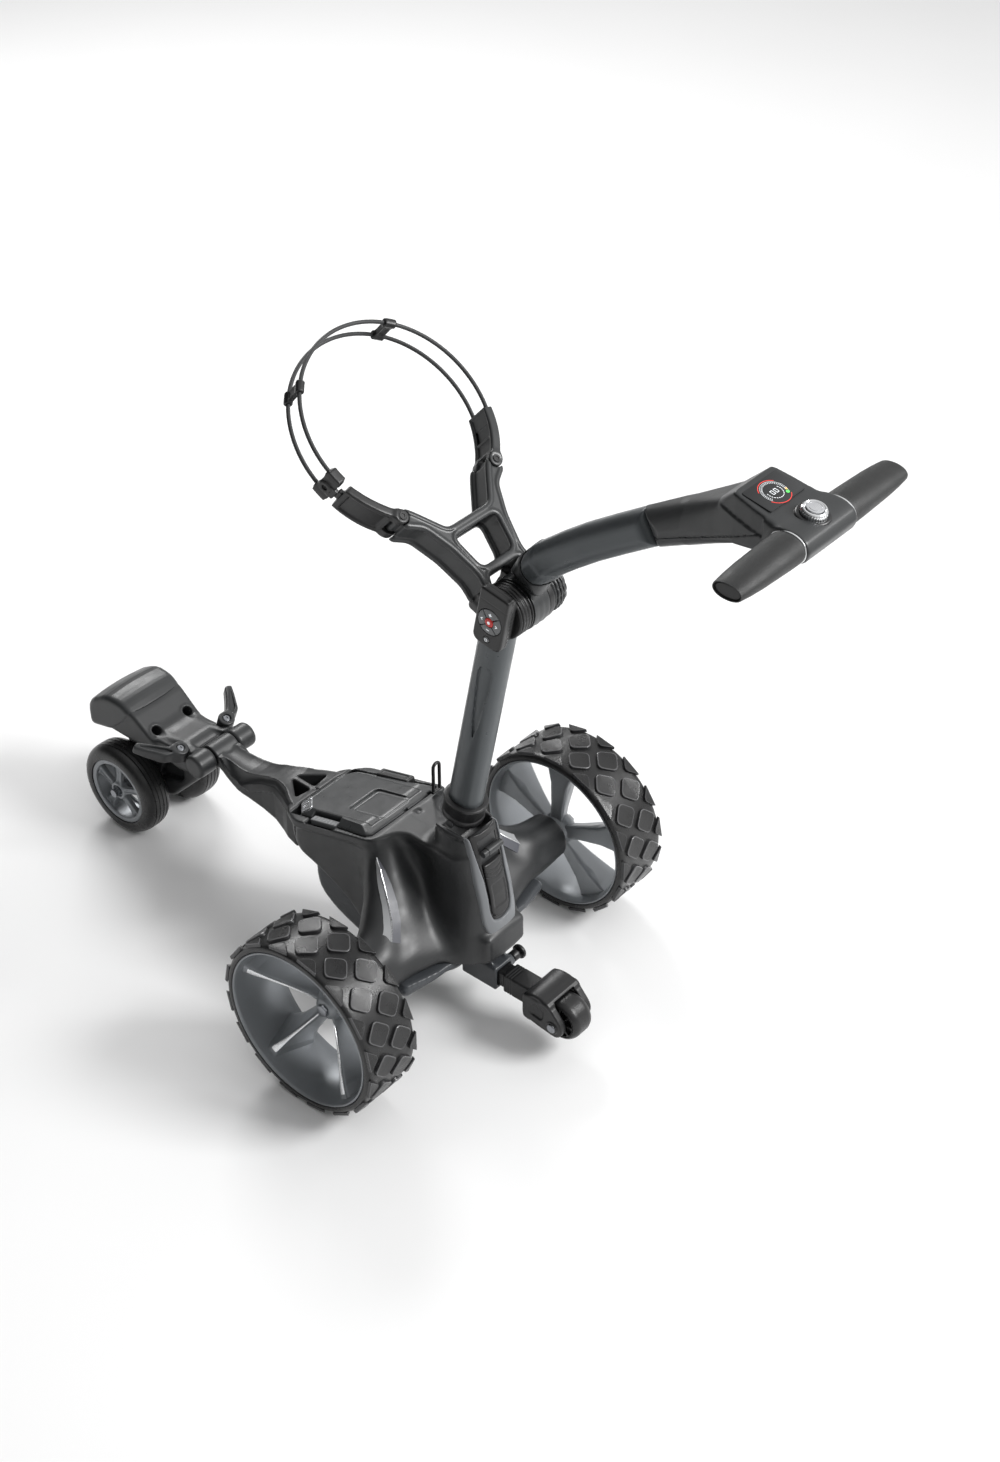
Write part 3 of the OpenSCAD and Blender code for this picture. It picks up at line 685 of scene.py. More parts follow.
def spoke_field(g):
    """One dished spoke up the local Z: a wedge that flares into a long foot on the rim's wall."""
    reach = g.z
    ridge = spoke_ridge(reach)
    crest = along(reach, (10, 60, 96, 110), (3.2, 2.4, 4.2, 8.0))
    widest = along(reach, (10, 40, 76, 98, 112), (11, 10.5, 14, 21, 29))
    half = np.minimum(crest + 0.34 * np.maximum(0, ridge - g.x), widest)
    blade = meet(np.abs(g.y) - half, np.maximum(g.x - ridge, -36 - g.x + 0.08 * reach), 3)
    return meet(blade, np.maximum(reach - 112.6, 8 - reach))


def rear_spokes():
    g = Grid((-42, -34, 6), (38, 34, 116), 1.5)
    blade = g.mesh(spoke_field(g))
    parts = [moved(blade, Matrix.Rotation(math.radians(72 * k), 4, "X")) for k in range(5)]
    hub = [(-41, 0.01), (-41, 17), (-38, 20), (-30, 24), (-22, 24), (-14, 19), (-9, 15), (-7, 12), (-7, 0.01)]
    parts.append(turned(hub, 72, closed=False))
    return joined(*parts)


def spoke_streaks():
    """Bright inlays that run out along the ridge of each spoke and widen towards the wall."""
    rings = []
    for reach, half in ((22, 0.5), (23, 0.9), (50, 1.3), (78, 2.2), (92, 3.6), (100, 4.4), (103.5, 4.2), (104, 3.8)):
        x = float(spoke_ridge(reach))
        rings.append([(x - 0.8, -half, reach), (x + 0.5, -half, reach), (x + 0.9, -half * 0.5, reach),
                      (x + 0.9, half * 0.5, reach), (x + 0.5, half, reach), (x - 0.8, half, reach)])
    streak = swept(rings)
    return joined(*[moved(streak, Matrix.Rotation(math.radians(72 * k), 4, "X")) for k in range(5)])


def rear_wheel(side, name):
    body = "rear_wheel_" + name
    place = mirrored_place(side, side * WHEEL_X, 0, AXLE_Z)
    piece("rear_tyre_" + name, *rear_tyre(), place, body, TYRE, ["rear_tyre_" + name], "tyre_rubber", 30)
    # rings of the lighter rubber round each lug's rim: painted highlights on the lug edges
    piece("rear_lug_edge_highlights_" + name, *joined(*lugs(EDGE_LEVELS)), place, body, TYRE_EDGE_HIGHLIGHT, slot="tyre_rubber", crease=30)
    rim = "rear_rim_" + name
    piece("rear_barrel_" + name, *rear_barrel(), place, body, RIM, [rim], "rim_plastic", 40)
    piece("rear_spokes_" + name, *rear_spokes(), place, body, RIM, [rim], "rim_plastic", 60)
    piece("rear_streaks_" + name, *spoke_streaks(), place, body, BRIGHT, slot="rim_plastic", crease=25)
    cap = moved(plate(circle(9, 6), -2, 5, 1.2), Matrix.Translation((-7, 0, 0)) @ ALONG_X)
    piece("rear_hub_nut_" + name, *cap, place, body, STEEL, slot="steel")


# ---------- body ----------

DECK = [(0, 252), (42, 252), (54, 247), (75, 213), (75, 84), (70, 70), (44, 63), (30, 46), (31, 0), (34, -40), (0, -62)]
SHELF_Z = 258.0
HUB_X = 205.5


def column_field(g, grow=0.0):
    """The column that carries the mast: an oval that widens downwards and leans with the mast."""
    centre = along(g.z, (113, 210, 298), (-44, -37, -25))
    wide = along(g.z, (113, 150, 210, 298), (60, 53, 42, 34)) + grow
    deep = along(g.z, (113, 210, 298), (50, 45, 36)) + grow
    shape = ((g.ax / wide) ** 2.6 + (np.abs(g.y - centre) / deep) ** 2.6) ** (1 / 2.6)
    return (shape - 1) * np.minimum(wide, deep)


def body_rough(g):
    """Deck, trunk and wings of the upper body, before their blends are ironed out."""
    w = seen_from(*LID_AT, LID_TILT, g.y, g.z)[1]
    plan = polygon(g.ax, g.y, rounded(DECK, 9))
    top = np.maximum(w - 1.2, g.z - SHELF_Z)
    band = meet(meet(plan, top, 4), -top - 13, 5)
    waist = plan + 7.5 * np.clip((g.y - 66) / 40, 0, 1) - 0.06 * np.maximum(0, 215 - g.z)
    trunk = meet(waist, top + 2, 6)
    low = profiled(g, [
        (-64, 96), (-64, 300), (300, 300), (300, 170), (238, 158), (196, 152), (158, 138), (118, 118), (96, 96),
    ], 14)
    trunk = meet(trunk, low, 6)
    solid = union(band, trunk, 9)
    spine = [(54, 74, 232, 17), (74, 54, 200, 22), (100, 28, 165, 28), (142, 5, 138, 32), (215, 0, 128, 33)]
    leg = limb(g.ax, g.y, g.z, spine[0][:3], spine[1][:3], spine[0][3], spine[1][3])
    for p, q in zip(spine[1:], spine[2:]):
        leg = union(leg, limb(g.ax, g.y, g.z, p[:3], q[:3], p[3], q[3]), 12)
    # sloped sheet from the deck's rear corner down to the foot
    slope = (g.z - g.y - 180) * 0.7071
    reach = along(g.z, (112, 132, 158, 196, 232, 250), (186, 146, 104, 76, 58, 46))
    rear = along(g.ax, (36, 136, 205), (-66, -33, -33))
    web = meet(meet(np.abs(slope + 24) - 24, g.ax - reach, 14), rear - g.y, 10)
    leg = union(leg, meet(web, 112 - g.z), 24)
    leg = meet(leg, top + 1, 8)
    return meet(union(solid, leg, 14), top, 2)


def body_solid(g):
    """The outer form of the upper body, without its openings."""
    crisp = body_rough(g)
    coarse = Grid(g.low, g.low + g.step * (np.array(g.shape) + 1), 2 * g.step)
    soft = finer(relaxed(body_rough(coarse), int(round(2 * (8.0 / coarse.step) ** 2))))
    soft = soft[:g.shape[0], :g.shape[1], :g.shape[2]]
    w = seen_from(*LID_AT, LID_TILT, g.y, g.z)[1]
    share = np.clip(np.minimum((-12 - w) / 20, (246 - g.z) / 20), 0, 1)
    solid = crisp + share * (soft - crisp)
    column = meet(column_field(g), g.z - 300, 5)
    solid = union(solid, column, 20)
    foot = block(g, (0, -76, 134), (37, 21, 20), 7)
    solid = union(solid, foot, 10)
    return meet(solid, g.ax - HUB_X, 3)


def body_grid():
    return Grid((-210, -104, 94), (210, 256, 306), 2.0)


def upper_body():
    g = body_grid()
    v, w = seen_from(*LID_AT, LID_TILT, g.y, g.z)
    solid = body_solid(g)
    # lip under the collar
    solid = scored(solid, g.z - 293.5, 1.6, 1.6)
    # battery tray and its shallow edge
    tray = meet(polygon(v, w, [(-79, 30), (79, 30), (79, -52), (42, -82), (-79, -82)]), g.ax - 61)
    edge = polygon(g.ax, v, rounded([(0, 81.5), (39, 81.5), (60, 60.5), (69.5, -73), (63, -81.5), (0, -81.5)], 3))
    solid = cut(solid, tray, 2)
    solid = cut(solid, np.maximum(edge, -w - 8.5), 1.5)
    # button recess on the left of the tray
    solid = cut(solid, box_field(g.x, v, w, (-66, 10, 0), (7.5, 27, 8), 2), 1.5)
    # hollow for the motors, from below
    solid = cut(solid, common(g.ax - 66, np.abs(g.y) - 34, g.z - 162, g.z - g.y - 168))
    solid = cut(solid, ring_distance(g, 0, AXLE_Z) - 27)
    solid = np.maximum(solid, 112 - g.z)
    # relief for the foot of the mast as it folds forwards
    ring = ring_distance(g, *MAST_FOOT_AT)
    relief = np.minimum(ring - 30.5, np.maximum(ring - 44.5, -22 - g.y))
    solid = cut(solid, np.maximum(relief, g.ax - 26.5), 1.0)
    # window for the latch
    window = common(g.ax - 18.5, np.abs(g.y + 84) - 17, np.abs(g.z - 242) - 44)
    solid = cut(solid, window, 1.5)
    # slots in front of the column, beside the catch
    for x in (12, 58):
        solid = cut(solid, block(g, (x, 66, 262), (4, 4.5, 6), 1), 1)
    cast("upper_body", g, solid, TROLLEY, "chassis", BODY, "body_plastic", 50)


# ---------- chassis details ----------

BEZEL_OUT = [(29, 300), (31, 236), (31, 176), (27, 156), (17, 142), (0, 138)]
BEZEL_IN = [(26, 302), (23, 262), (20, 236), (19.5, 186), (15, 172), (0, 167)]


def mirrored(half):
    """A half outline, given at positive x from top to bottom, closed on the other side."""
    return list(half) + [(-x, y) for x, y in half[::-1] if x != 0]


def lower_body():
    g = Grid((-152, -98, 46), (152, 206, 182), 2.0)
    w = seen_from(*LID_AT, LID_TILT, g.y, g.z)[1]
    side = [
        (-58, 113), (-58, 101), (-34, 74), (0, 58), (50, 54), (112, 64), (160, 84), (186, 106), (192, 130),
        (196, 176), (150, 170), (110, 140), (100, 113),
    ]
    pan = walled(profiled(g, side, 22), g.x, 66, 18)
    skirt = walled(profiled(g, [(-58, 113), (-56, 103), (-30, 90), (26, 90), (40, 113)], 8), g.x, 140, 8)
    skirt = meet(skirt, g.ax * 0.28 - 82 - g.y, 6)
    solid = union(pan, skirt, 16)
    socket = block(g, (0, -62, 70), (17.5, 30, 18.5), 2.5)
    boss = np.maximum(ring_distance(g, *PULL_PIN_AT) - 8.5, np.abs(g.x - 17) - 8)
    solid = union(solid, union(socket, boss, 4), 6)
    for x in (-17.5, 17.5):
        rib = np.maximum(polygon(g.y, g.z, [(-88, 88), (-56, 112), (-50, 112), (-50, 86)]), np.abs(g.x - x * 0.7) - 2)
        solid = union(solid, rib, 3)
    solid = cut(solid, block(g, (0, -80, 70), (12.6, 120, 12.6)))
    solid = cut(solid, np.maximum(ring_distance(g, *PULL_PIN_AT) - 3.2, 5 - g.x))
    solid = cut(solid, common(g.ax - 60, np.abs(g.y - 50) - 86, np.abs(g.z - 96) - 28))
    solid = cut(solid, ring_distance(g, 0, AXLE_Z) - 26.8)
    solid = cut(solid, np.maximum(g.ax - 62, -w - 84))
    # parting line of the motor pan and two cooling slots low on its sides
    solid = scored(solid, g.z - 110, 1.2, 1.0)
    for y in (60, 72, 84, 96):
        solid = cut(solid, block(g, (0, y, 92), (70, 1.6, 9), 1.5))
    cast("lower_body", g, solid, TROLLEY, "chassis", SKIRT, "body_plastic", 50)


SLIVER = (
    # front edge, ridge and rear edge, each as |X| and Z down the wing
    [(73.5, 234.5), (80.9, 225.8), (93.8, 210.1), (105.4, 195.8), (119.7, 183.5), (131, 175)],
    [(73.2, 234.7), (79.6, 225.0), (89.2, 209.8), (100.4, 194.8), (112.6, 181.4), (128.5, 167)],
    [(73.0, 234.6), (76.4, 224.4), (81.2, 210.6), (88.6, 195.4), (99.6, 180.0), (117, 161)],
)


def accents():
    """Fins lying in the rear faces of the wings: a light grey facet as painted light, a dark facet as painted shade and
    a bright ridge strip as a painted highlight.
    """
    g = Grid((56, -50, 140), (146, 100, 250), 2.0)
    solid = body_solid(g)
    depths = np.arange(-48, 98, 0.25)
    stations = np.linspace(0, 5, 41)

    def on_body(curve):
        out = []
        for s in stations:
            x, z = (np.interp(s, range(6), [p[i] for p in curve]) for i in (0, 1))
            line = np.stack([np.full_like(depths, x), depths, np.full_like(depths, z)], 1)
            values = sampled(g, solid, line)
            at = np.argmax(values < 0) if values.min() < 0 else np.argmin(values)
            out.append((x, depths[at], z))
        out = np.array(out)
        out[:, 1] = np.polyval(np.polyfit(stations, out[:, 1], 3), stations)
        return out

    front, ridge, rear = (on_body(curve) for curve in SLIVER)
    steps = np.eye(3) * 2
    slope = np.stack([sampled(g, solid, ridge + d) - sampled(g, solid, ridge - d) for d in steps], 1)
    out = slope / np.linalg.norm(slope, axis=1)[:, None]
    rise = (0.9 + 2.4 * np.sin((stations / 5) ** 0.8 * math.pi * 0.93 + 0.04))[:, None]
    half = (rear - front) / np.maximum(np.linalg.norm(rear - front, axis=1), 1e-6)[:, None] * 0.8
    left, right = ridge - half, ridge + half
    # one silver fin coloured in three: painted light on the front facet, painted shade on the rear facet, a painted
    # highlight along the ridge
    for name, bands, material in (
        ("side_accents", (front - 4 * out, front + 0.8 * out, ridge + rise * out, ridge - 4 * out), ACCENT_LIT),
        ("accent_backs", (ridge - 4 * out, ridge + (rise - 0.02) * out, rear + 0.8 * out, rear - 4 * out),
         ACCENT_SHADED),
        ("accent_edges", (left - 2 * out, left + (rise + 0.25) * out, ridge + (rise + 0.7) * out,
                          right + (rise + 0.25) * out, right - 2 * out), BRIGHT),
    ):
        verts = [tuple(band[i]) for i in range(len(stations)) for band in bands]
        faces = capped(len(stations), len(bands))
        both = joined((verts, faces), ([(-x, y, z) for x, y, z in verts], [f[::-1] for f in faces]))
        nodes = [name] if material is ACCENT_LIT else []
        piece(name, *both, TROLLEY, "chassis", material, nodes, "silver_trim", 20)


def latch():
    """The grey bezel round the column's rear window, the dark liner inside it and the lever."""
    g = Grid((-36, -112, 134), (36, -30, 304), 1.25)
    out = polygon(g.x, g.z, rounded(mirrored(BEZEL_OUT), 6))
    inner = polygon(g.x, g.z, rounded(mirrored(BEZEL_IN), 5))
    shell = common(column_field(g, 3.4), -column_field(g, -5), g.y + 36)
    crown = column_field(g, 4.4) + 0.10 * (np.abs(out + 5.5) - 5.5)
    bezel = meet(meet(np.maximum(shell, crown), out, 3), -inner, 3)
    cast("latch_bezel", g, bezel, TROLLEY, "chassis", BEZEL, "body_plastic")
    # dark liner of the window behind the roller
    liner = common(column_field(g, 0.9), -column_field(g, -2.5), inner + 0.7)
    window = np.maximum(g.ax - 16, np.abs(g.z - 262) - 30)
    liner = common(liner, -window, g.y + 36, 172 - g.z)
    liner = cut(liner, np.maximum(g.ax - 17.6, np.abs(g.z - 220) - 42))
    cast("latch_liner", g, liner, TROLLEY, "chassis", BLACK, "black_plastic", nodes=())
    lever = np.maximum(column_field(g, 2.6), -column_field(g, -9))
    face = polygon(g.x, g.z, rounded(mirrored([(16.6, 256), (16.6, 184), (13, 177), (0, 175)]), 2))
    lever = meet(lever, face, 2.4)
    for z in (246, 240, 234):
        lever = scored(lever, g.z - z - 0.02 * g.x ** 2, 1.6, 0.9)
    dish = polygon(g.x, g.z, rounded([(-12, 226), (12, 226), (12, 190), (-12, 190)], 4))
    lever = cut(lever, np.maximum(dish, -column_field(g, 1.6)), 0.8)
    cast("latch_lever", g, lever, TROLLEY, "latch_lever", BLACK, "black_plastic")


def pins():
    """Fold pin inside the mast's foot, front hinge pin and the roller in the latch window."""
    parts = []
    for y, z, profile in (
        (*MAST_FOOT_AT, [(-26, 0.01), (-26, 5.4), (-25.4, 6), (25.4, 6), (26, 5.4), (26, 0.01)]),
        (*HINGE_AT, [(-49.6, 0.01), (-49.6, 5), (-48.8, 5.9), (48.8, 5.9), (49.6, 5), (49.6, 0.01)]),
        (-71, 276, [(-18, 0.01), (-18, 4.6), (-10, 4.6), (-9.4, 5.6), (9.4, 5.6), (10, 4.6), (18, 4.6), (18, 0.01)]),
    ):
        parts.append(moved(turned(profile, 48, closed=False), Matrix.Translation((0, y, z))))
    piece("hinge_pins", *joined(*parts), TROLLEY, "chassis", TRIM, ["hinge_pins"], "steel", 35)


def battery():
    g = Grid((-74, -86, -82), (76, 88, 12), 1.25)
    case = meet(profiled(g, [(-76, -8.6), (76, -8.6), (76, -50), (40, -78), (-76, -78)], 6), g.ax - 58, 4)
    case = cut(case, block(g, (0, 0, 0), (50, 68, 62), 4))
    for x in (-40, -20, 0, 20, 40):
        case = cut(case, block(g, (x, -78, -40), (6, 3, 22), 2))
    cast("battery_case", g, case, LID, "battery", BLACK, "black_plastic")
    g = Grid((-74, -86, -10), (76, 88, 12), 0.75)
    outline = planned(g, [(-38, 79), (-58, 59), (-67, -72), (-61, -79), (61, -79), (67, -72), (58, 59), (38, 79)], 3)
    roof = np.maximum(g.z - 7.6, (g.z + 0.62 * outline - 0.9) * 0.85)
    roof = meet(roof, (g.z - 0.34 * (g.y + 80.5)) * 0.95, 1.2)
    corner = (g.z - 0.30 * (g.x + 58 - g.y + 59) - 0.6) * 0.92
    roof = meet(roof, corner, 0.6)
    lid = meet(meet(outline, roof, 1.6), -g.z - 8, 1)
    dip = planned(g, [(-31, -90), (-31, -12), (-27, -7), (21, -7), (25, -12), (25, -90)], 3)
    lid = cut(lid, np.maximum(dip, 4.9 - g.z), 1.6)
    # shallow frame inside the dip and a step along the right-hand side
    lid = scored(lid, planned(g, [(-27, -70), (-27, -14), (21, -14), (21, -70)], 3), 0.9, 0.5)
    lid = scored(lid, np.maximum(np.abs(g.x + 1) - 47.5, np.abs(g.y + 2) - 66), 0.8, 0.5)
    lid = cut(lid, block(g, (-66, 10, 0), (16, 26.2, 20), 2), 1.2)
    for x in (6, 52):
        lid = cut(lid, block(g, (x, -80, 0), (3.4, 4, 12), 1), 0.8)
    cast("battery_lid", g, lid, LID, "battery", LID_GREY, "lid_plastic", 40)
    # a silver skin on the lid's front-left corner chamfer: a painted highlight on the bevel
    facet = planned(g, [(-27, 77.5), (-38, 77.8), (-57, 58.8), (-53, 45), (-46, 46), (-26, 66)], 2)
    facet = common(lid - 0.4, -lid - 0.8, facet, 0.4 - g.z)
    cast("lid_corner_highlight", g, facet, LID, "battery", SILVER_AND_HIGHLIGHT, "silver_trim", 40, nodes=())
    pad = block(g, (61, -8, 3.4), (8.2, 30, 6.2), 2.6)
    pad = cut(pad, block(g, (61, -8, 11), (4.2, 24, 2.6), 2), 1.5)
    cast("lid_pad", g, pad, LID, "battery", BLACK, "black_plastic", 40, nodes=())
    button = meet(meet(block(g, (-59.5, 10, -3), (5.5, 24.2, 4.6), 1.6), g.z - 1.6 - 0.05 * (g.x + 65), 1), -g.z - 7)
    for y in range(-8, 30, 6):
        button = cut(button, block(g, (-59.5, y, 2.4), (3.4, 0.7, 1.6), 0.5), 0.4)
    cast("battery_button", g, button, LID, "battery_button", KEYS, "key_grey", 40)


# ---------- mast and upper joint ----------


def oval_field(a, b, half_a, half_b, power=2.3):
    shape = ((np.abs(a) / half_a) ** power + (np.abs(b) / half_b) ** power) ** (1 / power)
    return (shape - 1) * np.minimum(half_a, half_b)


def mast():
    g = Grid((-24, -28, -18), (24, 28, 352), 1.4)
    tube = meet(oval_field(g.x, g.y, 19, 23), np.abs(g.z - 180) - 170, 1)
    foot = union(np.maximum(ring_distance(g) - 14, g.ax - 12), block(g, (0, 0, 10), (12, 14, 10)))
    tube = union(tube, foot, 3)
    # long pointed dimple on each flank
    wide = along(g.z, (150, 180, 240, 262, 272), (0, 4.5, 9.5, 10.0, 5.5))
    dimple = np.maximum(np.abs(g.y + 3.5) - wide, np.abs(g.z - 211) - 60)
    tube = cut(tube, np.maximum(dimple, -oval_field(g.x, g.y, 15.6, 21.0)), 0.8)
    cast("mast_tube", g, tube, MAST, "mast", TUBE, "tube_paint", 50)
    rings = [(2, 47, 54), (2.5, 48.6, 55.6), (5, 49, 56), (11, 49, 56), (12, 48, 55), (13, 49, 56), (27, 49, 56)]
    rings += [(29, 51.5, 58.5), (31.5, 52, 59), (33.4, 51, 58), (34, 49, 56), (34, 38.3, 46.3), (2, 38.3, 46.3)]
    verts = [(x, y, z) for z, w, d in rings for x, y in oval(w, d, 2.3, 72)]
    faces = skin(len(rings), 72, wrap=True)
    piece("mast_collar", verts, faces, MAST, "mast", BLACK, ["mast_collar"], "black_plastic", 40)


def upper_joint():
    g = Grid((-48, -40, -62), (28, 54, 36), 1.1)
    left = walled(ring_distance(g) - 33, g.x + 26.2, 12, 2.5)
    for x, depth in ((-34.6, 2.2), (-29.5, 1.2), (-24.5, 1.2), (-18.5, 2.2)):
        left = cut(left, np.maximum(np.abs(g.x - x) - 0.9, 33 - depth - ring_distance(g)), 0.6)
    right = walled(ring_distance(g) - 33, g.x - 19, 5, 1.6)
    neck_x, neck_y = along(g.z, (-46, -20), (0, -7)), along(g.z, (-46, -8), (22, 30))
    half_x, half_y = along(g.z, (-46, -38, -18), (22, 23, 31)), along(g.z, (-46, -38, -8), (24, 25, 17))
    neck = meet(oval_field(g.x - neck_x, g.y - neck_y, half_x, half_y, 3.2), np.abs(g.z + 27) - 19, 3)
    solid = union(union(left, right), neck, 9)
    cheek = union(block(g, (-26.2, 33, -5), (11.8, 13, 15), 4), block(g, (19, 33, -5), (5, 13, 15), 3))
    solid = union(solid, cheek, 8)
    solid = cut(solid, block(g, (0, -60, -20), (14.2, 82, 50)))
    solid = cut(solid, np.maximum(ring_distance(g) - 34, g.ax - 14.2))
    solid = cut(solid, ring_distance(g) - 6)
    clip = block(g, (-40.4, -2, 3), (4, 17, 30), 2)
    solid = union(solid, clip, 3)
    cast("joint_barrel", g, solid, BARREL, "mast", BLACK, "black_plastic")
    g = Grid((22, -36, -36), (55, 36, 36), 0.9)
    turn = np.arctan2(g.z, g.y)
    ribs = 1.3 * np.abs(np.cos(turn * 8)) ** 0.7 * along(g.x, (27, 34, 50), (0.2, 1, 1))
    wave = 31.2 + ribs - 0.012 * (g.x - 34) ** 2
    dial = walled(ring_distance(g) - wave, g.x - 38, 13, 3.5)
    for x in (30, 35.5, 41, 46.5):
        dial = cut(dial, np.maximum(np.abs(g.x - x) - 0.9, 29.4 - ring_distance(g)), 0.7)
    dial = cut(dial, np.maximum(ring_distance(g) - 23, 49.6 - g.x), 1)
    dial = union(dial, walled(ring_distance(g) - 12, g.x - 46, 4.4, 1.2), 1.5)
    dial = cut(dial, np.maximum(ring_distance(g) - 6.05, g.x - 41))
    cast("height_dial", g, dial, BARREL, "height_dial", TRIM, "black_plastic")


# ---------- handle ----------

HANDLE_PATH = [(-128, 712, 66), (-139, 733, 57), (-160, 756, 45), (-190, 780.5, 39.5), (-221, 804, 37.5),
               (-262, 832, 35), (-306, 861, 33)]
CONSOLE_SIDE = [(-289, 880), (-340, 911), (-400, 944), (-424, 966), (-470, 956), (-500, 950), (-518, 945), (-523, 937),
                (-518, 928), (-490, 917), (-470, 914), (-428, 905), (-400, 887), (-360, 861), (-316, 837)]


def beside(path, distance):
    """Points at a distance from a path of (Y, Z, slope)."""
    out = []
    for y, z, slope in path:
        a = math.radians(slope)
        out.append((y + distance * math.sin(a), z + distance * math.cos(a)))
    return out


def strip(g, path, half):
    """Distance to a band of that half width along a path in the YZ plane."""
    return polygon(g.y, g.z, beside(path, half) + beside(path, -half)[::-1])


def handle():
    g = Grid((-24, -318, 640), (24, -78, 884), 1.5)
    tube = walled(strip(g, HANDLE_PATH, 22.5), g.x, 19, 17)
    a, b = seen_from(*BARREL_AT, LEAN, g.y, g.z)
    ring = radial(a, b)
    knuckle = walled(ring - 33, g.x, 13.4, 1.2)
    c, s = math.cos(math.radians(15)), math.sin(math.radians(15))
    ra, rb = a * c + b * s, b * c - a * s
    neck = walled(np.maximum(np.abs(ra - 1) - 17, np.abs(rb - 32) - 32), g.x, 13.4, 5)
    root = union(knuckle, neck, 6)
    for level in (40, 45):
        root = scored(root, rb - level, 1.2, 1.0)
    # a rounded socket where the tube starts
    socket = walled(strip(g, HANDLE_PATH[:3], 23.6), g.x, 19.6, 17)
    solid = union(root, union(tube, socket, 1), 4)
    solid = cut(solid, np.maximum(ring - 34.6, 13.5 - g.ax))
    solid = cut(solid, ring - 6.05)
    # the tube ends in a round tongue set into the dark knuckle
    path = [(-152, 747, 48)] + HANDLE_PATH[2:]
    tongue = np.minimum(strip(g, path, 26), ring_distance(g, -152, 747) - 22.4)
    tube = meet(solid, tongue, 1.2)
    root = np.maximum(solid, 1.4 - tongue)
    cast("handle_tube", g, tube, TROLLEY, "handle", TUBE, "tube_paint", 50)
    cast("handle_knuckle", g, root, TROLLEY, "handle", TRIM, "black_plastic", 50, nodes=())
    # dark sleeve with soft bands round the knuckle
    sleeve = [
        (-13.5, 32.4), (-13.5, 33.3), (-10, 33.8), (-7, 33.3), (-3, 33.3), (0, 33.9), (3, 33.3), (7, 33.3),
        (10, 33.8), (13.5, 33.3), (13.5, 32.4),
    ]
    piece("handle_sleeve", *turned(sleeve, 120), BARREL, "handle", TRIM, slot="black_plastic", crease=40)


def console():
    g = Grid((-48, -530, 828), (48, -284, 972), 1.25)
    back = -g.y
    flat = polygon(g.y, g.z, CONSOLE_SIDE)
    half = along(back, (300, 352, 385, 400, 428, 450, 470, 521), (22.5, 25.5, 29.5, 32, 38, 41, 42.5, 43))
    soft = along(back, (300, 352, 400, 430, 470), (34, 30, 16, 7, 7))
    gap = g.ax - half
    h = np.maximum(soft - np.abs(flat - gap), 0) / soft
    shell = np.maximum(flat, gap) + h * h * soft * 0.25
    middle_part = meet(oval_field(g.y - TEE_AT[0], g.z - TEE_AT[1], 22, 17.4), g.ax - 42.6, 2)
    shell = union(shell, middle_part, 10)
    line = g.z - along(back, (300, 326, 358, 385, 430, 470), (853, 866, 882, 896, 921, 943)) + 4
    shell = scored(shell, np.maximum(np.abs(line) - 0.4, back - 462), 0.9, 1.3)
    # side cheeks fall back a little below the deck of the display
    deck_v, deck_w = seen_from(*DISPLAY_AT, DISPLAY_TILT, g.y, g.z)
    cheek = common(np.abs(back - 436) - 30, half - g.ax - 2.2, deck_w + 3)
    shell = cut(shell, np.maximum(cheek, -deck_w - 26), 2)
    glass = common(g.ax - 31, np.abs(deck_v - 0.5) - 19.5, -deck_w - 1.2)
    shell = cut(shell, glass, 0.6)
    shell = cut(shell, ring_distance(g, *TEE_AT) - 12.1)
    for x in (-14, 14):
        shell = cut(shell, np.maximum(radial(g.x - x, g.y + 452) - 3.2, g.z - 914), 0.5)
    cast("console_housing", g, shell, TROLLEY, "handle", TRIM, "body_plastic", 40)
    top = shifted(TROLLEY, 0, *DISPLAY_AT, DISPLAY_TILT)
    glass = plate(rounded([(-30.6, -18.6), (30.6, -18.6), (30.6, 19.6), (-30.6, 19.6)], 3), -5.6, -0.3, 0.4)
    piece("console_screen", *glass, top, "handle", GLASS, ["console_screen"], "screen_glass", 30)
    gauge = shifted(top, -1, -1.5, -0.3)
    piece("gauge_red", *joined(arc(17.4, 18.1, 40, 150), arc(17.4, 18.1, 205, 318)), gauge, "handle", RED_MARK)
    ticks = [arc(12.8, 14.8, a, a + 2.2) for a in range(-20, 205, 8)]
    ticks += [arc(9.4, 10.2, a, a + 10) for a in range(165, 375, 16)]
    digits = [zero(x, 0.4, 3.2, 5.6) for x in (-3.0, 3.0)]
    frame_line = [arc(15.7, 15.95, -30, 210)]
    piece("gauge_white", *joined(*ticks, *digits, *frame_line), gauge, "handle", WHITE_GLOW)
    piece("gauge_green", *plate(circle(2.1, 20, 11.5, -8.5), 0, 0.25), gauge, "handle", GREEN_MARK)
    piece("gauge_amber", *plate(circle(1.3, 20, 13.9, -4.6), 0, 0.25), gauge, "handle", AMBER_MARK)


def arc(r0, r1, start, end, height=0.25):
    """A flat arc between two radii and two angles in degrees."""
    steps = max(2, int(abs(end - start) / 4))
    angles = [math.radians(start + (end - start) * i / steps) for i in range(steps + 1)]
    outline = [(r1 * math.cos(a), r1 * math.sin(a)) for a in angles]
    outline += [(r0 * math.cos(a), r0 * math.sin(a)) for a in angles[::-1]]
    return plate(outline, 0, height)


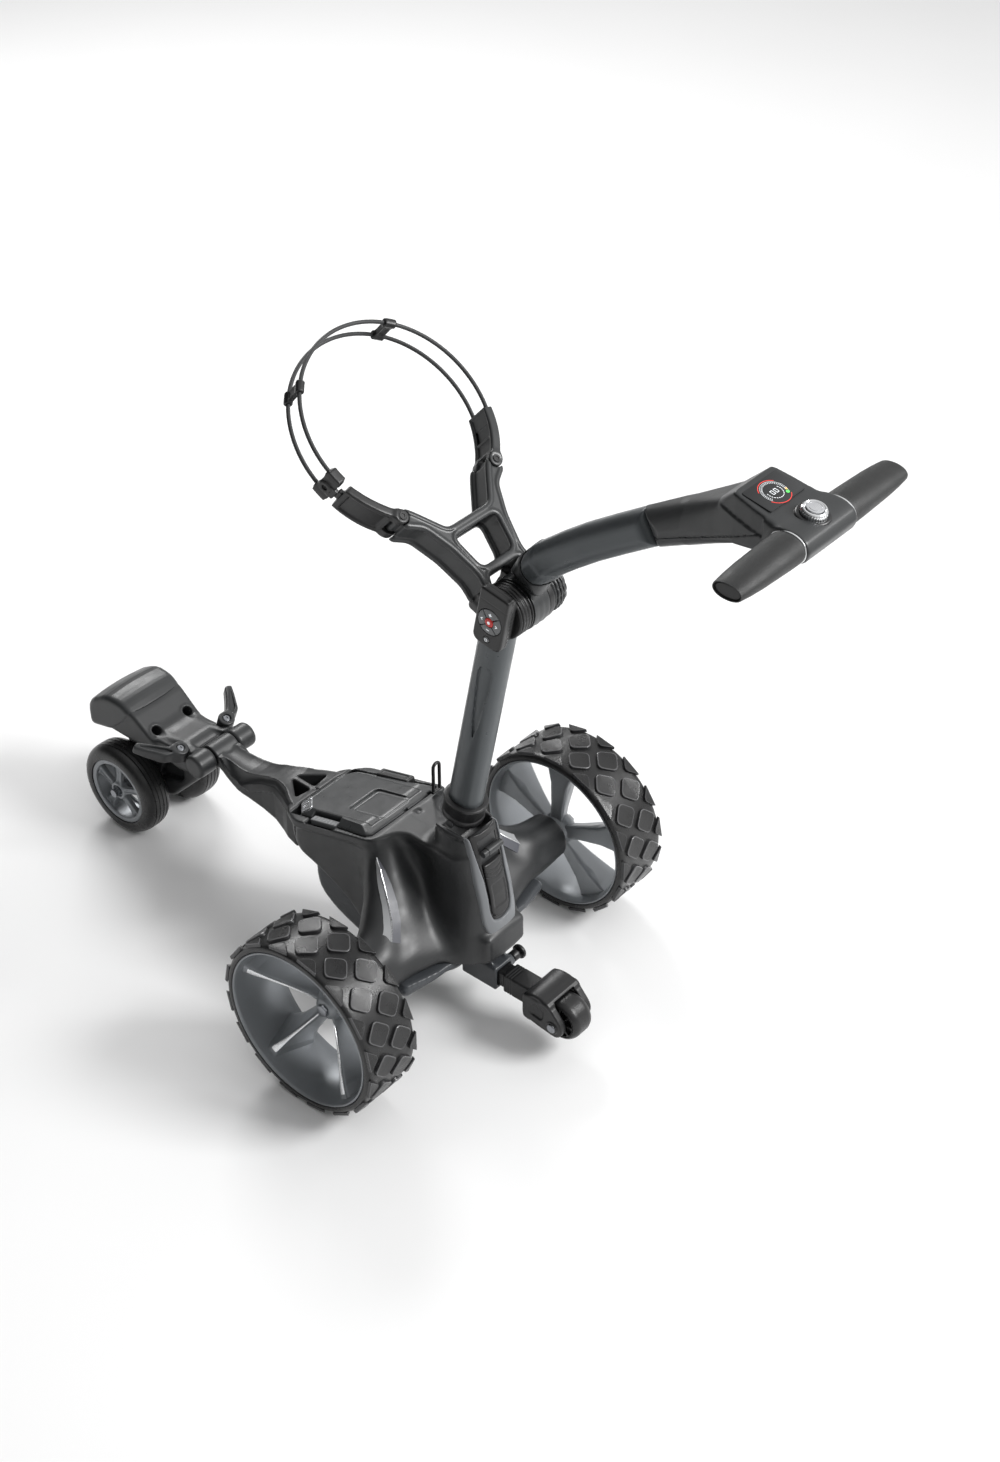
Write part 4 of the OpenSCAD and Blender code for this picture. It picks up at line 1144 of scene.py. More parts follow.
def zero(x, y, wide, tall):
    """A nought of six bars, as on a segment display, whose middle is at (x, y)."""
    half, thick = tall / 2, 0.7
    bars = [
        (0, half, wide, thick), (wide / 2, half / 2, thick, half), (wide / 2, -half / 2, thick, half),
        (0, -half, wide, thick), (-wide / 2, -half / 2, thick, half), (-wide / 2, half / 2, thick, half),
    ]
    parts = []
    for cx, cy, w, h in bars:
        box = [(cx - w / 2, cy - h / 2), (cx + w / 2, cy - h / 2), (cx + w / 2, cy + h / 2), (cx - w / 2, cy + h / 2)]
        parts.append(plate([(x + a, y + b) for a, b in box], 0, 0.25))
    return joined(*parts)


def tee_bar():
    def ovals(side, profile):
        return swept([[(side * x, a, b) for a, b in oval(w, d, 2.15, 64)] for x, w, d in profile])

    grip = [
        (45.8, 43.0, 33.0), (46.2, 44.0, 34.0), (52, 44.4, 34.2), (66, 44.2, 33.2), (90, 43.2, 30.6),
        (112, 42.2, 28.0), (132, 39.8, 24.4), (143, 37.4, 21.6), (147.6, 36.4, 20.4), (148.8, 35.4, 19.4),
        (149, 33.6, 17.6), (146.4, 31.8, 16.0),
    ]
    cap = [(144.0, 31.4, 15.6), (146.6, 31.2, 15.4), (147.2, 29.6, 13.8)]
    band = [(42.7, 43.6, 33.6), (43.2, 45.2, 35.2), (45.0, 45.2, 35.2), (45.5, 43.6, 33.6)]
    for side, name in SIDES:
        piece("grip_" + name, *ovals(side, grip), TEE, "handle", GRIP, ["grips"], "grip_rubber", 40)
        piece("grip_cap_" + name, *ovals(side, cap), TEE, "handle", BLACK, slot="black_plastic")
        piece("grip_ring_" + name, *ovals(side, band), TEE, "handle", CHROME, ["grip_rings"], "silver_trim")
    core = [(-140, 0.01), (-140, 7.6), (-60, 7.6), (-58, 11.9), (58, 11.9), (60, 7.6), (140, 7.6), (140, 0.01)]
    piece("tee_core", *turned(core, 48, closed=False), TEE, "handle", STEEL, ["tee_core"], "steel")


def dial():
    base = [(0, 12), (0, 19.6), (1.2, 20.4), (5.0, 19.8), (6.4, 18.8), (7.0, 17.4), (7.0, 15.4), (1.0, 15.3), (1.0, 12)]
    piece("dial_base", *moved(turned(base, 96), UPRIGHT), DIAL, "handle", BLACK, ["dial_base"], "black_plastic")
    rings = []
    for z, r, wave in (
        (2.0, 14.0, 0), (2.4, 14.6, 0.2), (4, 15, 0.5), (10.2, 15, 0.5), (11.4, 14.7, 0.25), (12.8, 14.0, 0),
        (13.8, 12.8, 0), (14.0, 11.6, 0), (13.4, 10.6, 0), (11.8, 10.4, 0), (10.2, 10.3, 0),
    ):
        ring = []
        for a in np.arange(192) * 2 * math.pi / 192:
            knurled = r - wave * (0.5 - 0.5 * math.cos(32 * a))
            ring.append((knurled * math.cos(a), knurled * math.sin(a), z))
        rings.append(ring)
    piece("control_dial", *swept(rings), DIAL, "control_dial", CHROME, ["control_dial"], "chrome", 30)
    rings = stacked([
        (12.0, 9.6), (12.0, 10.0), (14.2, 10.0), (14.8, 9.6), (15.0, 9.0), (15.0, 7.6), (14.75, 7.4), (14.75, 6.9),
        (15.05, 6.7), (15.2, 3.0), (15.25, 0.4),
    ], 96)
    piece("dial_button", *swept(rings), DIAL, "dial_button", SILVER_AND_HIGHLIGHT, ["dial_button"], "key_grey", 25)


# ---------- handset ----------


def handset():
    g = Grid((-44, -26, -1), (44, 26, 17), 0.75)
    face = planned(g, [(-40, -15), (-34, -21.5), (40, -21.5), (40, 21.5), (-34, 21.5), (-40, 15)], 6)
    case = walled(face, g.z - 7, 7, 2.6)
    case = scored(case, g.z - 6.2, 0.8, 0.7)
    case = cut(case, np.maximum(radial(g.x - STOP_AT, g.y) - 17.3, 11 - g.z), 0.5)
    case = cut(case, np.maximum(radial(g.x - POWER_AT, g.y) - 4.3, 11 - g.z), 0.4)
    case = scored(case, g.x - 23.5, 0.6, 0.4)
    for x in range(-30, 31, 6):
        for y in (-21.6, 21.6):
            case = cut(case, block(g, (x, y, 3), (1.1, 0.8, 2), 0.5), 0.3)
    cast("remote_handset", g, case, HANDSET, "remote", BLACK, "black_plastic", 40)
    g = Grid((-22, -20, 10), (18, 20, 17), 0.5)
    ring = radial(g.x - STOP_AT, g.y)
    dome = g.z - 15.6 + 0.004 * ring ** 2
    keys = meet(meet(walled(ring - 16.9, g.z - 13, 3, 0.8), dome, 0.5), 6.5 - ring, 0.5)
    for sign in (-1, 1):
        keys = cut(keys, np.maximum(np.abs(g.x - STOP_AT + sign * g.y) / 1.414 - 0.8, 13.0 - g.z), 0.4)
    cast("remote_keypad", g, keys, HANDSET, "remote_keypad", KEYS, "key_grey", 40)
    # the printed arrows and bars on the keypad take the glowing white: a painted glow, as print gives no light
    marks = []
    pad = Matrix.Translation((STOP_AT, 0, 15.0))
    for turn in (90, 270):
        tip = plate([(10, -2.0), (12.8, 0), (10, 2.0), (9.2, 1.5), (11.2, 0), (9.2, -1.5)], 0, 0.5)
        marks.append(moved(tip, pad @ Matrix.Rotation(math.radians(turn), 4, "Z")))
    for x, w, h in ((11.2, 0.5, 2.2), (-11.2, 0.5, 2.2), (11.2, 2.2, 0.5)):
        bar = plate([(-w, -h), (w, -h), (w, h), (-w, h)], 0, 0.5)
        marks.append(moved(bar, pad @ Matrix.Translation((x, 0, 0))))
    piece("remote_key_marks", *joined(*marks), HANDSET, "remote_keypad", WHITE_GLOW)
    for name, x, r, top, look, slot in (
        ("remote_stop", STOP_AT, 6.0, 16.0, RED, "red_button"),
        ("remote_power", POWER_AT, 4.0, 15.0, KEYS, "key_grey"),
    ):
        rings = stacked([
            (12.7, r - 0.3), (12.7, r), (top - 1.0, r), (top - 0.3, r - 0.5), (top, r - 1.3), (top - 0.1, r * 0.45),
            (top - 0.15, r * 0.1),
        ], 48, x)
        button = name + "_button"
        piece(button, *swept(rings), HANDSET, name, look, [button], slot, 30)
    # the printed dot on the stop button glows: a painted glow
    dot = circle(2.0, 24, STOP_AT)
    piece("remote_stop_mark", *plate(dot, 15.9, 16.15), HANDSET, "remote_stop", WHITE_GLOW)
    # the printed power sign glows: a painted glow
    bar = plate([(-0.25, 0.4), (0.25, 0.4), (0.25, 2.4), (-0.25, 2.4)], 0, 0.25)
    swirl = moved(joined(arc(1.5, 2.0, 120, 420), bar), Matrix.Translation((POWER_AT, 0, 14.95)))
    piece("remote_power_mark", *swirl, HANDSET, "remote_power", WHITE_GLOW)


# ---------- upper bag support and hoop ----------

FORK = [
    (-43, -222), (-40, -200), (-50, -160), (-66, -124), (-88, -111), (-73, -89.5), (-62, -102), (-36, -136), (36, -136),
    (62, -102), (73, -89.5), (88, -111), (66, -124), (50, -160), (40, -200), (43, -222), (31, -222), (27, -208),
    (-27, -208), (-31, -222),
]
FORK_WINDOW = [(-27, -196), (-36, -150), (36, -150), (27, -196)]
EYE_R = 128.0
EYE_ANGLE = 40.0
HOOP_R = 127.0
HOOP_DROP = 30.0


def around_hoop(radius, angle):
    a = math.radians(angle)
    return radius * math.sin(a), -radius * math.cos(a)


def flanged(flat, z, low, high, web, flange, recess):
    """A flat casting with a flange above and below and its rim set back between them."""
    solid = meet(flat, np.abs(z - (low + high) / 2) - (high - low) / 2, 3)
    channel = np.maximum(np.abs(z - (low + flange + high - flange) / 2) - (high - low) / 2 + flange, -flat - recess)
    return cut(solid, channel, web)


def bag_frame():
    g = Grid((-104, -236, -44), (104, -76, 12), 1.3)
    flat = cut(planned(g, FORK, 7), planned(g, FORK_WINDOW, 9), 3)
    for side in (-1, 1):
        ex, ey = around_hoop(EYE_R, side * EYE_ANGLE)
        flat = union(flat, radial(g.x - ex, g.y - ey) - 9, 5)
    crown = g.z - 7 + 0.022 * np.maximum(0, flat + 9) ** 2
    solid = meet(flanged(flat, g.z, -37, 7, 4, 9, 3.2), crown, 3)
    # panel let into the top of the lower arms and the brace
    solid = cut(solid, np.maximum(flat + 6.5, 4.6 - g.z), 1.5)
    for side in (-1, 1):
        ex, ey = around_hoop(EYE_R, side * EYE_ANGLE)
        post = radial(g.x - ex, g.y - ey)
        outer = np.maximum(post - 10, 11.3 - np.abs(g.z + 14))
        solid = cut(solid, outer)
        solid = union(solid, np.maximum(post - 3, np.abs(g.z + HOOP_DROP / 2) - 22))
    # seat on the barrel, in the barrel's own frame
    c, s = math.cos(math.radians(HOOP_TILT)), math.sin(math.radians(HOOP_TILT))
    y = HOOP_AT[0] + g.y * c - g.z * s
    z = HOOP_AT[1] + g.y * s + g.z * c
    a, b = seen_from(*BARREL_AT, LEAN, y, z)
    solid = cut(solid, radial(a, b) - 33.2)
    solid = cut(solid, common(g.ax - 20, a, np.abs(b) - 200))
    cast("bag_frame", g, solid, HOOP, "mast", TRIM, "body_plastic")
    for side, name in SIDES:
        ex, ey = around_hoop(EYE_R, side * EYE_ANGLE)
        screw = [(7.0, 0.01), (7.0, 5.0), (7.7, 5.0), (8.2, 4.4), (8.2, 2.6), (7.4, 2.3), (7.4, 0.01)]
        up = Matrix.Translation((ex, ey, 0)) @ UPRIGHT
        piece("eye_screw_" + name, *moved(turned(screw, 40), up), HOOP, "mast", BLACK, slot="black_plastic")


def paddle(side, body, name):
    low_x, high_x = sorted((side * 66, side * 140))
    g = Grid((low_x, -124, -42), (high_x, -24, 12), 1.1)
    r = radial(g.x, g.y)
    angle = np.degrees(np.arctan2(side * g.x, -g.y))
    arc_mm = np.radians(angle) * HOOP_R
    start, end = math.radians(43) * HOOP_R, math.radians(72) * HOOP_R
    level = np.abs(g.z + HOOP_DROP / 2)
    flat = common(np.abs(r - HOOP_R) - 6, start - arc_mm, arc_mm - end)
    share = np.clip((angle - 43) / 29, 0, 1)
    high, low = 7 - 3.0 * share ** 2, -37 + 2.0 * share ** 2
    solid = meet(meet(flat, g.z - high, 3), low - g.z, 3)
    if side < 0:
        claw = common(np.abs(r - HOOP_R) - 3.2, np.abs(arc_mm - end - 1.5) - 4, level - 7)
        solid = union(solid, claw, 1.5)
        pocket = common(130.4 - r, np.abs(angle - 58) - 10.5, level - 14.5)
        solid = cut(solid, pocket, 3)
        inner = common(r - 123.6, np.abs(angle - 58) - 11, level - 15)
        solid = cut(solid, inner, 2)
    else:
        for a, depth in ((50, 2.6), (59, 3.4), (67, 2.2)):
            step = common(r - 121 - depth, np.abs(angle - a) - 3.6, level - 15)
            solid = cut(solid, step, 1.5)
        pocket = common(131.0 - r, np.abs(angle - 58) - 11, level - 15)
        solid = cut(solid, pocket, 2.5)
    ex, ey = around_hoop(EYE_R, side * EYE_ANGLE)
    post = radial(g.x - ex, g.y - ey)
    solid = union(solid, walled(post - 9, g.z + HOOP_DROP / 2, 22, 1.5), 6)
    solid = cut(solid, np.maximum(post - 11, np.abs(g.z + 14) - 11.3))
    solid = cut(solid, post - 3.05)
    if side > 0:
        for z in (0, -HOOP_DROP):
            solid = cut(solid, radial(r - HOOP_R, g.z - z) - 2.6)
    look = BLACK if side < 0 else TRIM
    cast(name, g, solid, HOOP, body, look, "body_plastic")


def hoop_fittings():
    parts = []
    for name, angle, wide, thick, over in (("a", 145, 15, 7, 4), ("b", -134, 15, 7, 4), ("hook", -80.5, 21, 13, 7)):
        g = Grid((-14, -142, -46), (14, -112, 16), 0.9)
        r = radial(g.x, g.y)
        arc_mm = np.arctan2(g.x, -g.y) * HOOP_R
        level = np.abs(g.z + HOOP_DROP / 2)
        sleeve = 99.0
        for z in (0, -HOOP_DROP):
            tube = radial(r - HOOP_R, g.z - z) - 5.0
            sleeve = np.minimum(sleeve, meet(tube, np.abs(arc_mm) - wide / 2, 1.6))
        strap = np.maximum(np.abs(r - HOOP_R) - thick / 2, np.abs(arc_mm) - wide / 2 + 1.5)
        strap = meet(strap, level - HOOP_DROP / 2 - over, 2)
        solid = union(sleeve, strap, 3)
        if name == "hook":
            boss = radial(arc_mm, level)
            tongue = common(np.abs(r - 132.2) - 2.4, np.abs(arc_mm - 11) - 6.5, level - 8)
            solid = union(solid, union(tongue, np.maximum(boss - 7.5, np.abs(r - 130) - 6), 1), 2)
            solid = cut(solid, np.maximum(boss - 3.4, 133.4 - r), 0.6)
        else:
            for face in (129.2 - r, r - 124.8):
                solid = cut(solid, common(np.abs(arc_mm) - 4, level - 8, face), 1)
        for z in (0, -HOOP_DROP):
            solid = cut(solid, radial(r - HOOP_R, g.z - z) - 2.55)
        parts.append(moved(g.mesh(solid), Matrix.Rotation(math.radians(angle), 4, "Z")))
    piece("hoop_fittings", *joined(*parts), HOOP, "hoop", BLACK, ["hoop_fittings"], "black_plastic", 45, outward=True)


# ---------- front arm and lower bag support ----------


def front_arm():
    g = Grid((-54, 232, 132), (54, 452, 220), 1.25)
    # ridge, crescent and leaf edge along the arm: half width and height
    ridge = along(g.y, (240, 252, 262, 270, 280, 290, 300, 330, 360, 375, 390, 405, 440),
                  (47, 41, 35.5, 29.8, 25, 21.8, 18.9, 17, 17.6, 17, 15.6, 14.6, 14.6))
    top = along(g.y, (240, 280, 290, 300, 315, 330, 345, 360, 375, 405, 440),
                (211, 212.5, 211, 208.5, 204, 198, 193, 189.5, 189, 190.5, 194))
    upper = along(g.y, (240, 272, 296, 325, 345, 364, 370, 385, 408), (203, 203, 202, 191, 180.5, 170, 168.5, 172, 192))
    lower = along(g.y, (240, 271, 295, 322, 345, 365, 385, 408), (192, 194, 194, 180, 167, 167, 171, 191))
    waist = along(g.y, (240, 258, 272, 296, 325, 364, 385, 408), (49, 42, 34.5, 25.5, 22.5, 24.5, 24.5, 21))
    belly = along(g.y, (240, 258, 271, 295, 322, 345, 365, 385, 408), (50, 46, 40, 32, 29, 28.6, 28, 25.4, 21.4))
    low = along(g.y, (236, 273, 350, 375, 388, 400, 412, 452), (138, 140, 149, 150, 154, 158, 164, 165))
    down = np.clip((top - g.z) / np.maximum(top - upper, 1), 0, 1)
    half = ridge + (waist - ridge) * down - 7.0 * down * (1 - down)
    half = np.where(g.z < upper, waist, half) + (belly - 1.6 - waist) * np.clip((upper - g.z) / 8, 0, 1)
    share = np.clip(g.ax / ridge, 0, 1)
    crown = top - 3.4 * (1 - share ** 2)
    arm = meet(meet(0.85 * (g.ax - half), g.z - crown, 1.0), low - g.z, 8)
    leaf = waist + 1.6 + (belly + 0.9 - waist - 1.6) * np.clip((upper - g.z) / np.maximum(upper - lower, 1), 0, 1)
    leaf = meet(meet(g.ax - leaf, g.z - upper, 0.8), np.maximum(lower - g.z, g.y - 372), 1.2)
    arm = union(arm, leaf, 1.2)
    arm = common(arm, 238 - g.y, g.y - 412)
    barrel = walled(ring_distance(g, *HINGE_AT) - 18, g.x, 21, 2)
    arm = union(arm, barrel, 5)
    for side in (-1, 1):
        hole = polygon(g.x * side, g.y, rounded([(4, 250), (31, 252), (4, 284)], 4))
        arm = cut(arm, hole, 2)
    arm = cut(arm, ring_distance(g, *HINGE_AT) - 6.05)
    cast("front_arm", g, arm, TROLLEY, "chassis", BODY, "body_plastic")


def bag_rest():
    g = Grid((-58, 406, 50), (58, 650, 222), 1.8)
    head = profiled(g, [(512, 172), (560, 209), (600, 208), (641, 184), (641, 166), (560, 158), (520, 156)], 8)
    spread = along(g.y, (512, 560, 641), (46.5, 48.5, 54))
    head = meet(head, g.ax - spread, 6)
    leg = profiled(g, [(449, 164), (470, 190), (520, 180), (600, 160), (606, 72), (590, 54), (566, 54),
                                     (516, 66), (460, 124)], 9)
    leg = meet(leg, g.ax - along(g.z, (54, 120, 170), (23.5, 24.5, 30)), 7)
    neck = profiled(g, [(456, 156), (452, 186), (476, 181), (520, 177), (520, 152), (480, 148)], 6)
    neck = meet(neck, g.ax - 39, 6)
    solid = union(union(head, leg, 14), neck, 10)
    for side in (-1, 1):
        cheek = profiled(g, [(424, 164), (424, 197), (452, 190), (480, 180), (520, 178), (520, 158), (470, 150)], 8)
        solid = union(solid, meet(cheek, np.abs(g.x - side * 32) - 7, 2), 9)
        knuckle = walled(ring_distance(g, *HINGE_AT) - 18, g.x - side * 38.3, 15.9, 5)
        solid = union(solid, knuckle, 4)
    # window through the leg and ribs on the slanted face
    window = profiled(g, [(488, 108), (486, 152), (520, 148), (540, 92)], 12)
    solid = cut(solid, np.maximum(window, 14 - g.ax), 5)
    solid = cut(solid, np.maximum(ring_distance(g, *HINGE_AT) - 6.05, g.ax - 50))
    solid = cut(solid, np.maximum(ring_distance(g, *HINGE_AT) - 20, g.ax - 22.3))
    solid = cut(solid, ring_distance(g, FRONT_AXLE_Y, FRONT_AXLE_Z) - 6)
    c, s = 48 / math.hypot(48, 37), 37 / math.hypot(48, 37)
    for side in (-1, 1):
        along_face = (g.y - 528.4) * c + (g.z - 184.64) * s
        out = (g.z - 184.64) * c - (g.y - 528.4) * s
        hole = radial(g.x - side * 30, along_face)
        solid = union(solid, meet(hole - 10.4, np.abs(out) - 1.3, 1.0), 1.5)
        solid = cut(solid, np.maximum(hole - 7.0 - np.maximum(0, out) * 0.8, np.abs(out) - 22), 0.6)
        wy, wz = seen_from(*WING_AT, WING_TILT, g.y, g.z)
        well = radial(g.x - side * 45, wy)
        solid = cut(solid, np.maximum(well - 12.4, np.abs(wz - 1) - 15))
    cast("bag_rest_housing", g, solid, TROLLEY, "bag_rest", BODY, "body_plastic")
    g = Grid((-60, 548, 148), (60, 656, 230), 1.2)
    side = profiled(g, [(558, 206.5), (574, 219), (606, 222), (649, 196), (648, 158), (640, 152),
                                      (600, 160), (572, 184)], [1, 9, 16, 16, 8, 6, 12, 14]) + 0.0012 * g.x ** 2 - 1.4
    pad = meet(side, g.ax - along(g.y, (561, 647), (50, 55)), 9)
    core = polygon(g.y, g.z, [(500, 100), (500, 162.7), (558, 207.4), (599, 206.4), (639, 183), (639, 100)])
    pad = cut(pad, np.maximum(core, g.ax - 46), 1)
    cast("bag_rest_pad", g, pad, TROLLEY, "bag_rest", TRIM, "body_plastic")


def wings():
    for side, name in SIDES:
        g = Grid((-16, -18, -15), (54, 52, 15), 1.0)
        hub = walled(radial(g.x, g.y) - 12, g.z, 11, 2)
        arm = planned(g, [(4, -7), (27, 3), (43, 27), (51.5, 42), (41, 46), (27, 29), (12, 13), (4, 10)], 4)
        thick = along(g.x, (4, 30, 50), (11, 10, 7))
        arm = meet(arm, np.abs(g.z) - thick, 4)
        arm = cut(arm, np.maximum(planned(g, [(12, 0), (25, 8), (39, 29), (44, 39), (31, 27), (16, 10)], 3),
                                  7 - np.abs(g.z)), 1.5)
        solid = cut(union(hub, arm, 5), radial(g.x, g.y) - 3)
        solid = cut(solid, np.maximum(radial(g.x, g.y) - 6.2, 9 - np.abs(g.z)), 0.6)
        place = shifted(TROLLEY, side * 45, *WING_AT, WING_TILT) @ Matrix.Diagonal((side, 1, 1, 1))
        wing = "wing_" + name
        cast(wing, g, solid, place, wing, BODY, "body_plastic", flip=side < 0)
        screw = [(8.6, 0.01), (8.6, 5.2), (10.2, 5.2), (11.0, 4.2), (11.1, 2.2), (10.0, 2.0), (10.0, 0.01)]
        piece("wing_screw_" + name, *moved(turned(screw, 40), UPRIGHT), place, wing, STEEL, slot="steel")


# ---------- front wheels ----------


def front_wheels():
    for side, name in SIDES:
        body = "front_wheel_" + name
        place = mirrored_place(side, side * FRONT_X, FRONT_AXLE_Y, FRONT_AXLE_Z)
        profile = [
            (-20.0, 51.5), (-22.2, 52.4), (-22.8, 55), (-22.6, 59.5), (-21.4, 63.6), (-18.6, 67.6), (-14.4, 70.3),
            (-11.2, 71.2), (-10.6, 70.2), (-9.8, 70.2), (-9.2, 71.5), (-4.6, 71.9), (-4.0, 70.9), (-3.2, 70.9),
            (-2.6, 71.9),
        ]
        profile += [(-x, r) for x, r in profile[::-1]]
        piece("front_tyre_" + name, *turned(profile, 144), place, body, TYRE, ["front_tyre_" + name], "tyre_rubber", 30)
        g = Grid((-23, -53, -53), (23, 53, 53), 1.1)
        r = ring_distance(g)
        turn = np.arctan2(g.y, g.z)
        fifth = (turn + math.pi / 5) % (2 * math.pi / 5) - math.pi / 5
        off, out = r * np.sin(fifth), r * np.cos(fifth)
        barrel = meet(np.abs(r - 49.2) - 2.2, g.ax - 20.4, 1)
        lip = meet(np.abs(r - 48) - 3.4, np.abs(g.ax - 18.8) - 1.8, 1.2)
        disc_x = along(out, (12, 30, 46), (13.5, 10.5, 9.5))
        spoke = meet(np.abs(off) - along(out, (8, 20, 34, 48), (6.5, 5.0, 5.6, 9.5)), np.abs(g.x - disc_x) - 4.2, 3)
        spoke = meet(spoke, r - 48.5)
        spoke = cut(spoke, np.maximum(np.abs(off) - along(out, (14, 42), (1.2, 2.8)), disc_x + 2.6 - g.x), 1.2)
        hub = meet(r - 13 - 0.04 * (18 - g.x), g.ax - 19.6, 2)
        solid = union(union(union(barrel, lip, 2), spoke, 5), hub, 4)
        solid = cut(solid, np.maximum(r - 9.2, 16.6 - g.x), 0.8)
        solid = cut(solid, r - 6.05)
        cast("front_rim_" + name, g, solid, place, body, RIM, "rim_plastic", flip=side < 0)
        cap = moved(plate(circle(7, 6), 0, 5, 1.0), Matrix.Translation((17, 0, 0)) @ ALONG_X)
        piece("front_hub_nut_" + name, *cap, place, "bag_rest", STEEL, slot="steel")


# ---------- anti-tip leg, pull knob and catch ----------


def antitip():
    g = Grid((-18, -156, 50), (18, 4, 90), 1.0)
    arm = union(block(g, (0, -75, 70), (12, 75, 12), 2.2), block(g, (0, -126, 70), (15, 24, 15), 2.5), 1.5)
    arm = cut(arm, block(g, (12.5, -58.6, 74), (5, 27, 3.4)))
    for side in (-1, 1):
        arm = cut(arm, block(g, (side * 13, -50, 66), (1.9, 40, 3), 1.4), 0.6)
        arm = cut(arm, block(g, (0, -60, 70 + side * 13), (6, 38, 1.9), 1.4), 0.6)
    for y in (-108, -112, -116):
        arm = scored(arm, g.y - y, 1.1, 0.9)
    cast("antitip_arm", g, arm, TROLLEY, "antitip_leg", BLACK, "black_plastic")
    g = Grid((-37, -232, 42), (37, -144, 104), 1.1)
    side = profiled(g, [(-150, 93), (-150, 55), (-172, 50), (-206, 46), (-215, 56), (-214, 70), (-192, 95)], 9)
    cheek = meet(side, np.abs(g.ax - 26) - 5.4, 2.2)
    panel = profiled(g, [(-158, 84), (-158, 66), (-182, 62), (-184, 82)], 6)
    cheek = cut(cheek, np.maximum(panel, 29.4 - g.ax), 1.4)
    bridge = profiled(g, [
        (-149, 93), (-149, 53), (-160, 52), (-163, 60), (-164, 84), (-190, 98), (-192, 92), (-168, 92),
    ], 3)
    bridge = meet(bridge, g.ax - 31.4, 3)
    hood = common(np.abs(ring_distance(g, -172, 60) - 37.5) - 2.6, 88 - g.z, g.y + 152)
    hood = meet(np.maximum(hood, -194 - g.y), g.ax - 31.4, 3)
    fork = union(union(cheek, bridge, 3), hood, 3)
    fork = cut(fork, ring_distance(g, *ANTITIP_AT) - 4)
    fork = cut(fork, np.maximum(ring_distance(g, *ANTITIP_AT) - 32.5, g.ax - 19.6))
    fork = union(fork, np.maximum(np.abs(ring_distance(g, *ANTITIP_AT) - 7.4) - 1.8, np.abs(g.ax - 31.6) - 1.2), 0.8)
    cast("antitip_fork", g, fork, TROLLEY, "antitip_leg", BLACK, "black_plastic")
    place = TROLLEY @ Matrix.Translation((0, *ANTITIP_AT))
    g = Grid((-20, -32, -32), (20, 32, 32), 0.9)
    r = ring_distance(g)
    tread = meet(r - 30 + np.maximum(0, g.ax - 8) ** 2 * 0.045, g.ax - 17.8, 2)
    turn = np.arctan2(g.y, g.z)
    eighth = (turn + math.pi / 8) % (math.pi / 4) - math.pi / 8
    off = r * np.abs(np.sin(eighth))
    well = np.maximum(np.abs(r - 15) - 6.6, 12.5 - g.ax)
    tread = cut(tread, np.maximum(well, 1.4 - off), 1.0)
    tread = cut(tread, np.maximum(np.abs(r - 23.2) - 0.6, 16.2 - g.ax), 0.6)
    tread = cut(tread, r - 4.05)
    cast("antitip_wheel", g, tread, place, "antitip_wheel", TYRE, "tyre_rubber")
    bolt = [
        (-34.8, 0.01), (-34.8, 5.6), (-34.0, 6.6), (-31.2, 6.9), (-31.0, 3.95), (31.0, 3.95), (31.2, 6.9),
        (34.0, 6.6), (34.8, 5.6), (34.8, 3.2), (33.6, 2.9), (33.6, 0.01),
    ]
    piece("antitip_axle", *turned(bolt, 48, closed=False), place, "antitip_leg", STEEL, ["antitip_axle"], "steel", 35)
    knob = [
        (17.6, 0.01), (17.6, 3), (25.6, 3), (25.8, 5.4), (26.6, 6.9), (28.0, 7.5), (36.0, 7.5), (37.6, 5.2),
        (38.8, 5.0), (39.8, 6.4), (40.4, 9.6), (41.4, 10.5), (44.4, 10.5), (45.6, 9.6), (46.0, 8.0),
        (45.4, 6.4), (45.2, 0.01),
    ]
    knob, place = turned(knob, 64, closed=False), shifted(TROLLEY, 0, *PULL_PIN_AT)
    piece("pull_knob", *knob, place, "pull_pin", BLACK, ["pull_knob"], "black_plastic", 35)


def catch():
    """The wire loop that holds the folded frame, with its pivot sleeve."""
    path = [(-6, z) for z in (-1, 10, 20, 30, 39)]
    path += [(-6 * math.cos(a), 40 + 6 * math.sin(a)) for a in np.linspace(0.15, math.pi - 0.15, 14)]
    path += [(6, z) for z in (39, 30, 20, 10, -1)]
    rings = []
    for i, (x, z) in enumerate(path):
        before, after = path[max(0, i - 1)], path[min(len(path) - 1, i + 1)]
        t = np.array([after[0] - before[0], after[1] - before[1]])
        t = t / np.linalg.norm(t)
        rings.append([(x - t[1] * c, s, z + t[0] * c) for c, s in circle(2.3, 20)])
    sleeve = turned([(-8.4, 0.01), (-8.4, 2.2), (-8, 2.5), (8, 2.5), (8.4, 2.2), (8.4, 0.01)], 32, closed=False)
    place = shifted(TROLLEY, 55, 72, 262)
    both = joined(swept(rings), sleeve)
    piece("frame_catch", *both, place, "frame_catch", BLACK, ["frame_catch"], "black_plastic", 35)


# ---------- assembly ----------

for side, name in SIDES:
    rear_wheel(side, name)
upper_body()
lower_body()
accents()
latch()
pins()
battery()
mast()
upper_joint()
handle()
console()
tee_bar()
dial()
handset()
bag_frame()
paddle(-1, "paddle_left", "paddle_left")
paddle(1, "hoop", "paddle_right")
hoop_fittings()
front_arm()
bag_rest()
wings()
front_wheels()
antitip()
catch()


# ---------- every node's material ----------

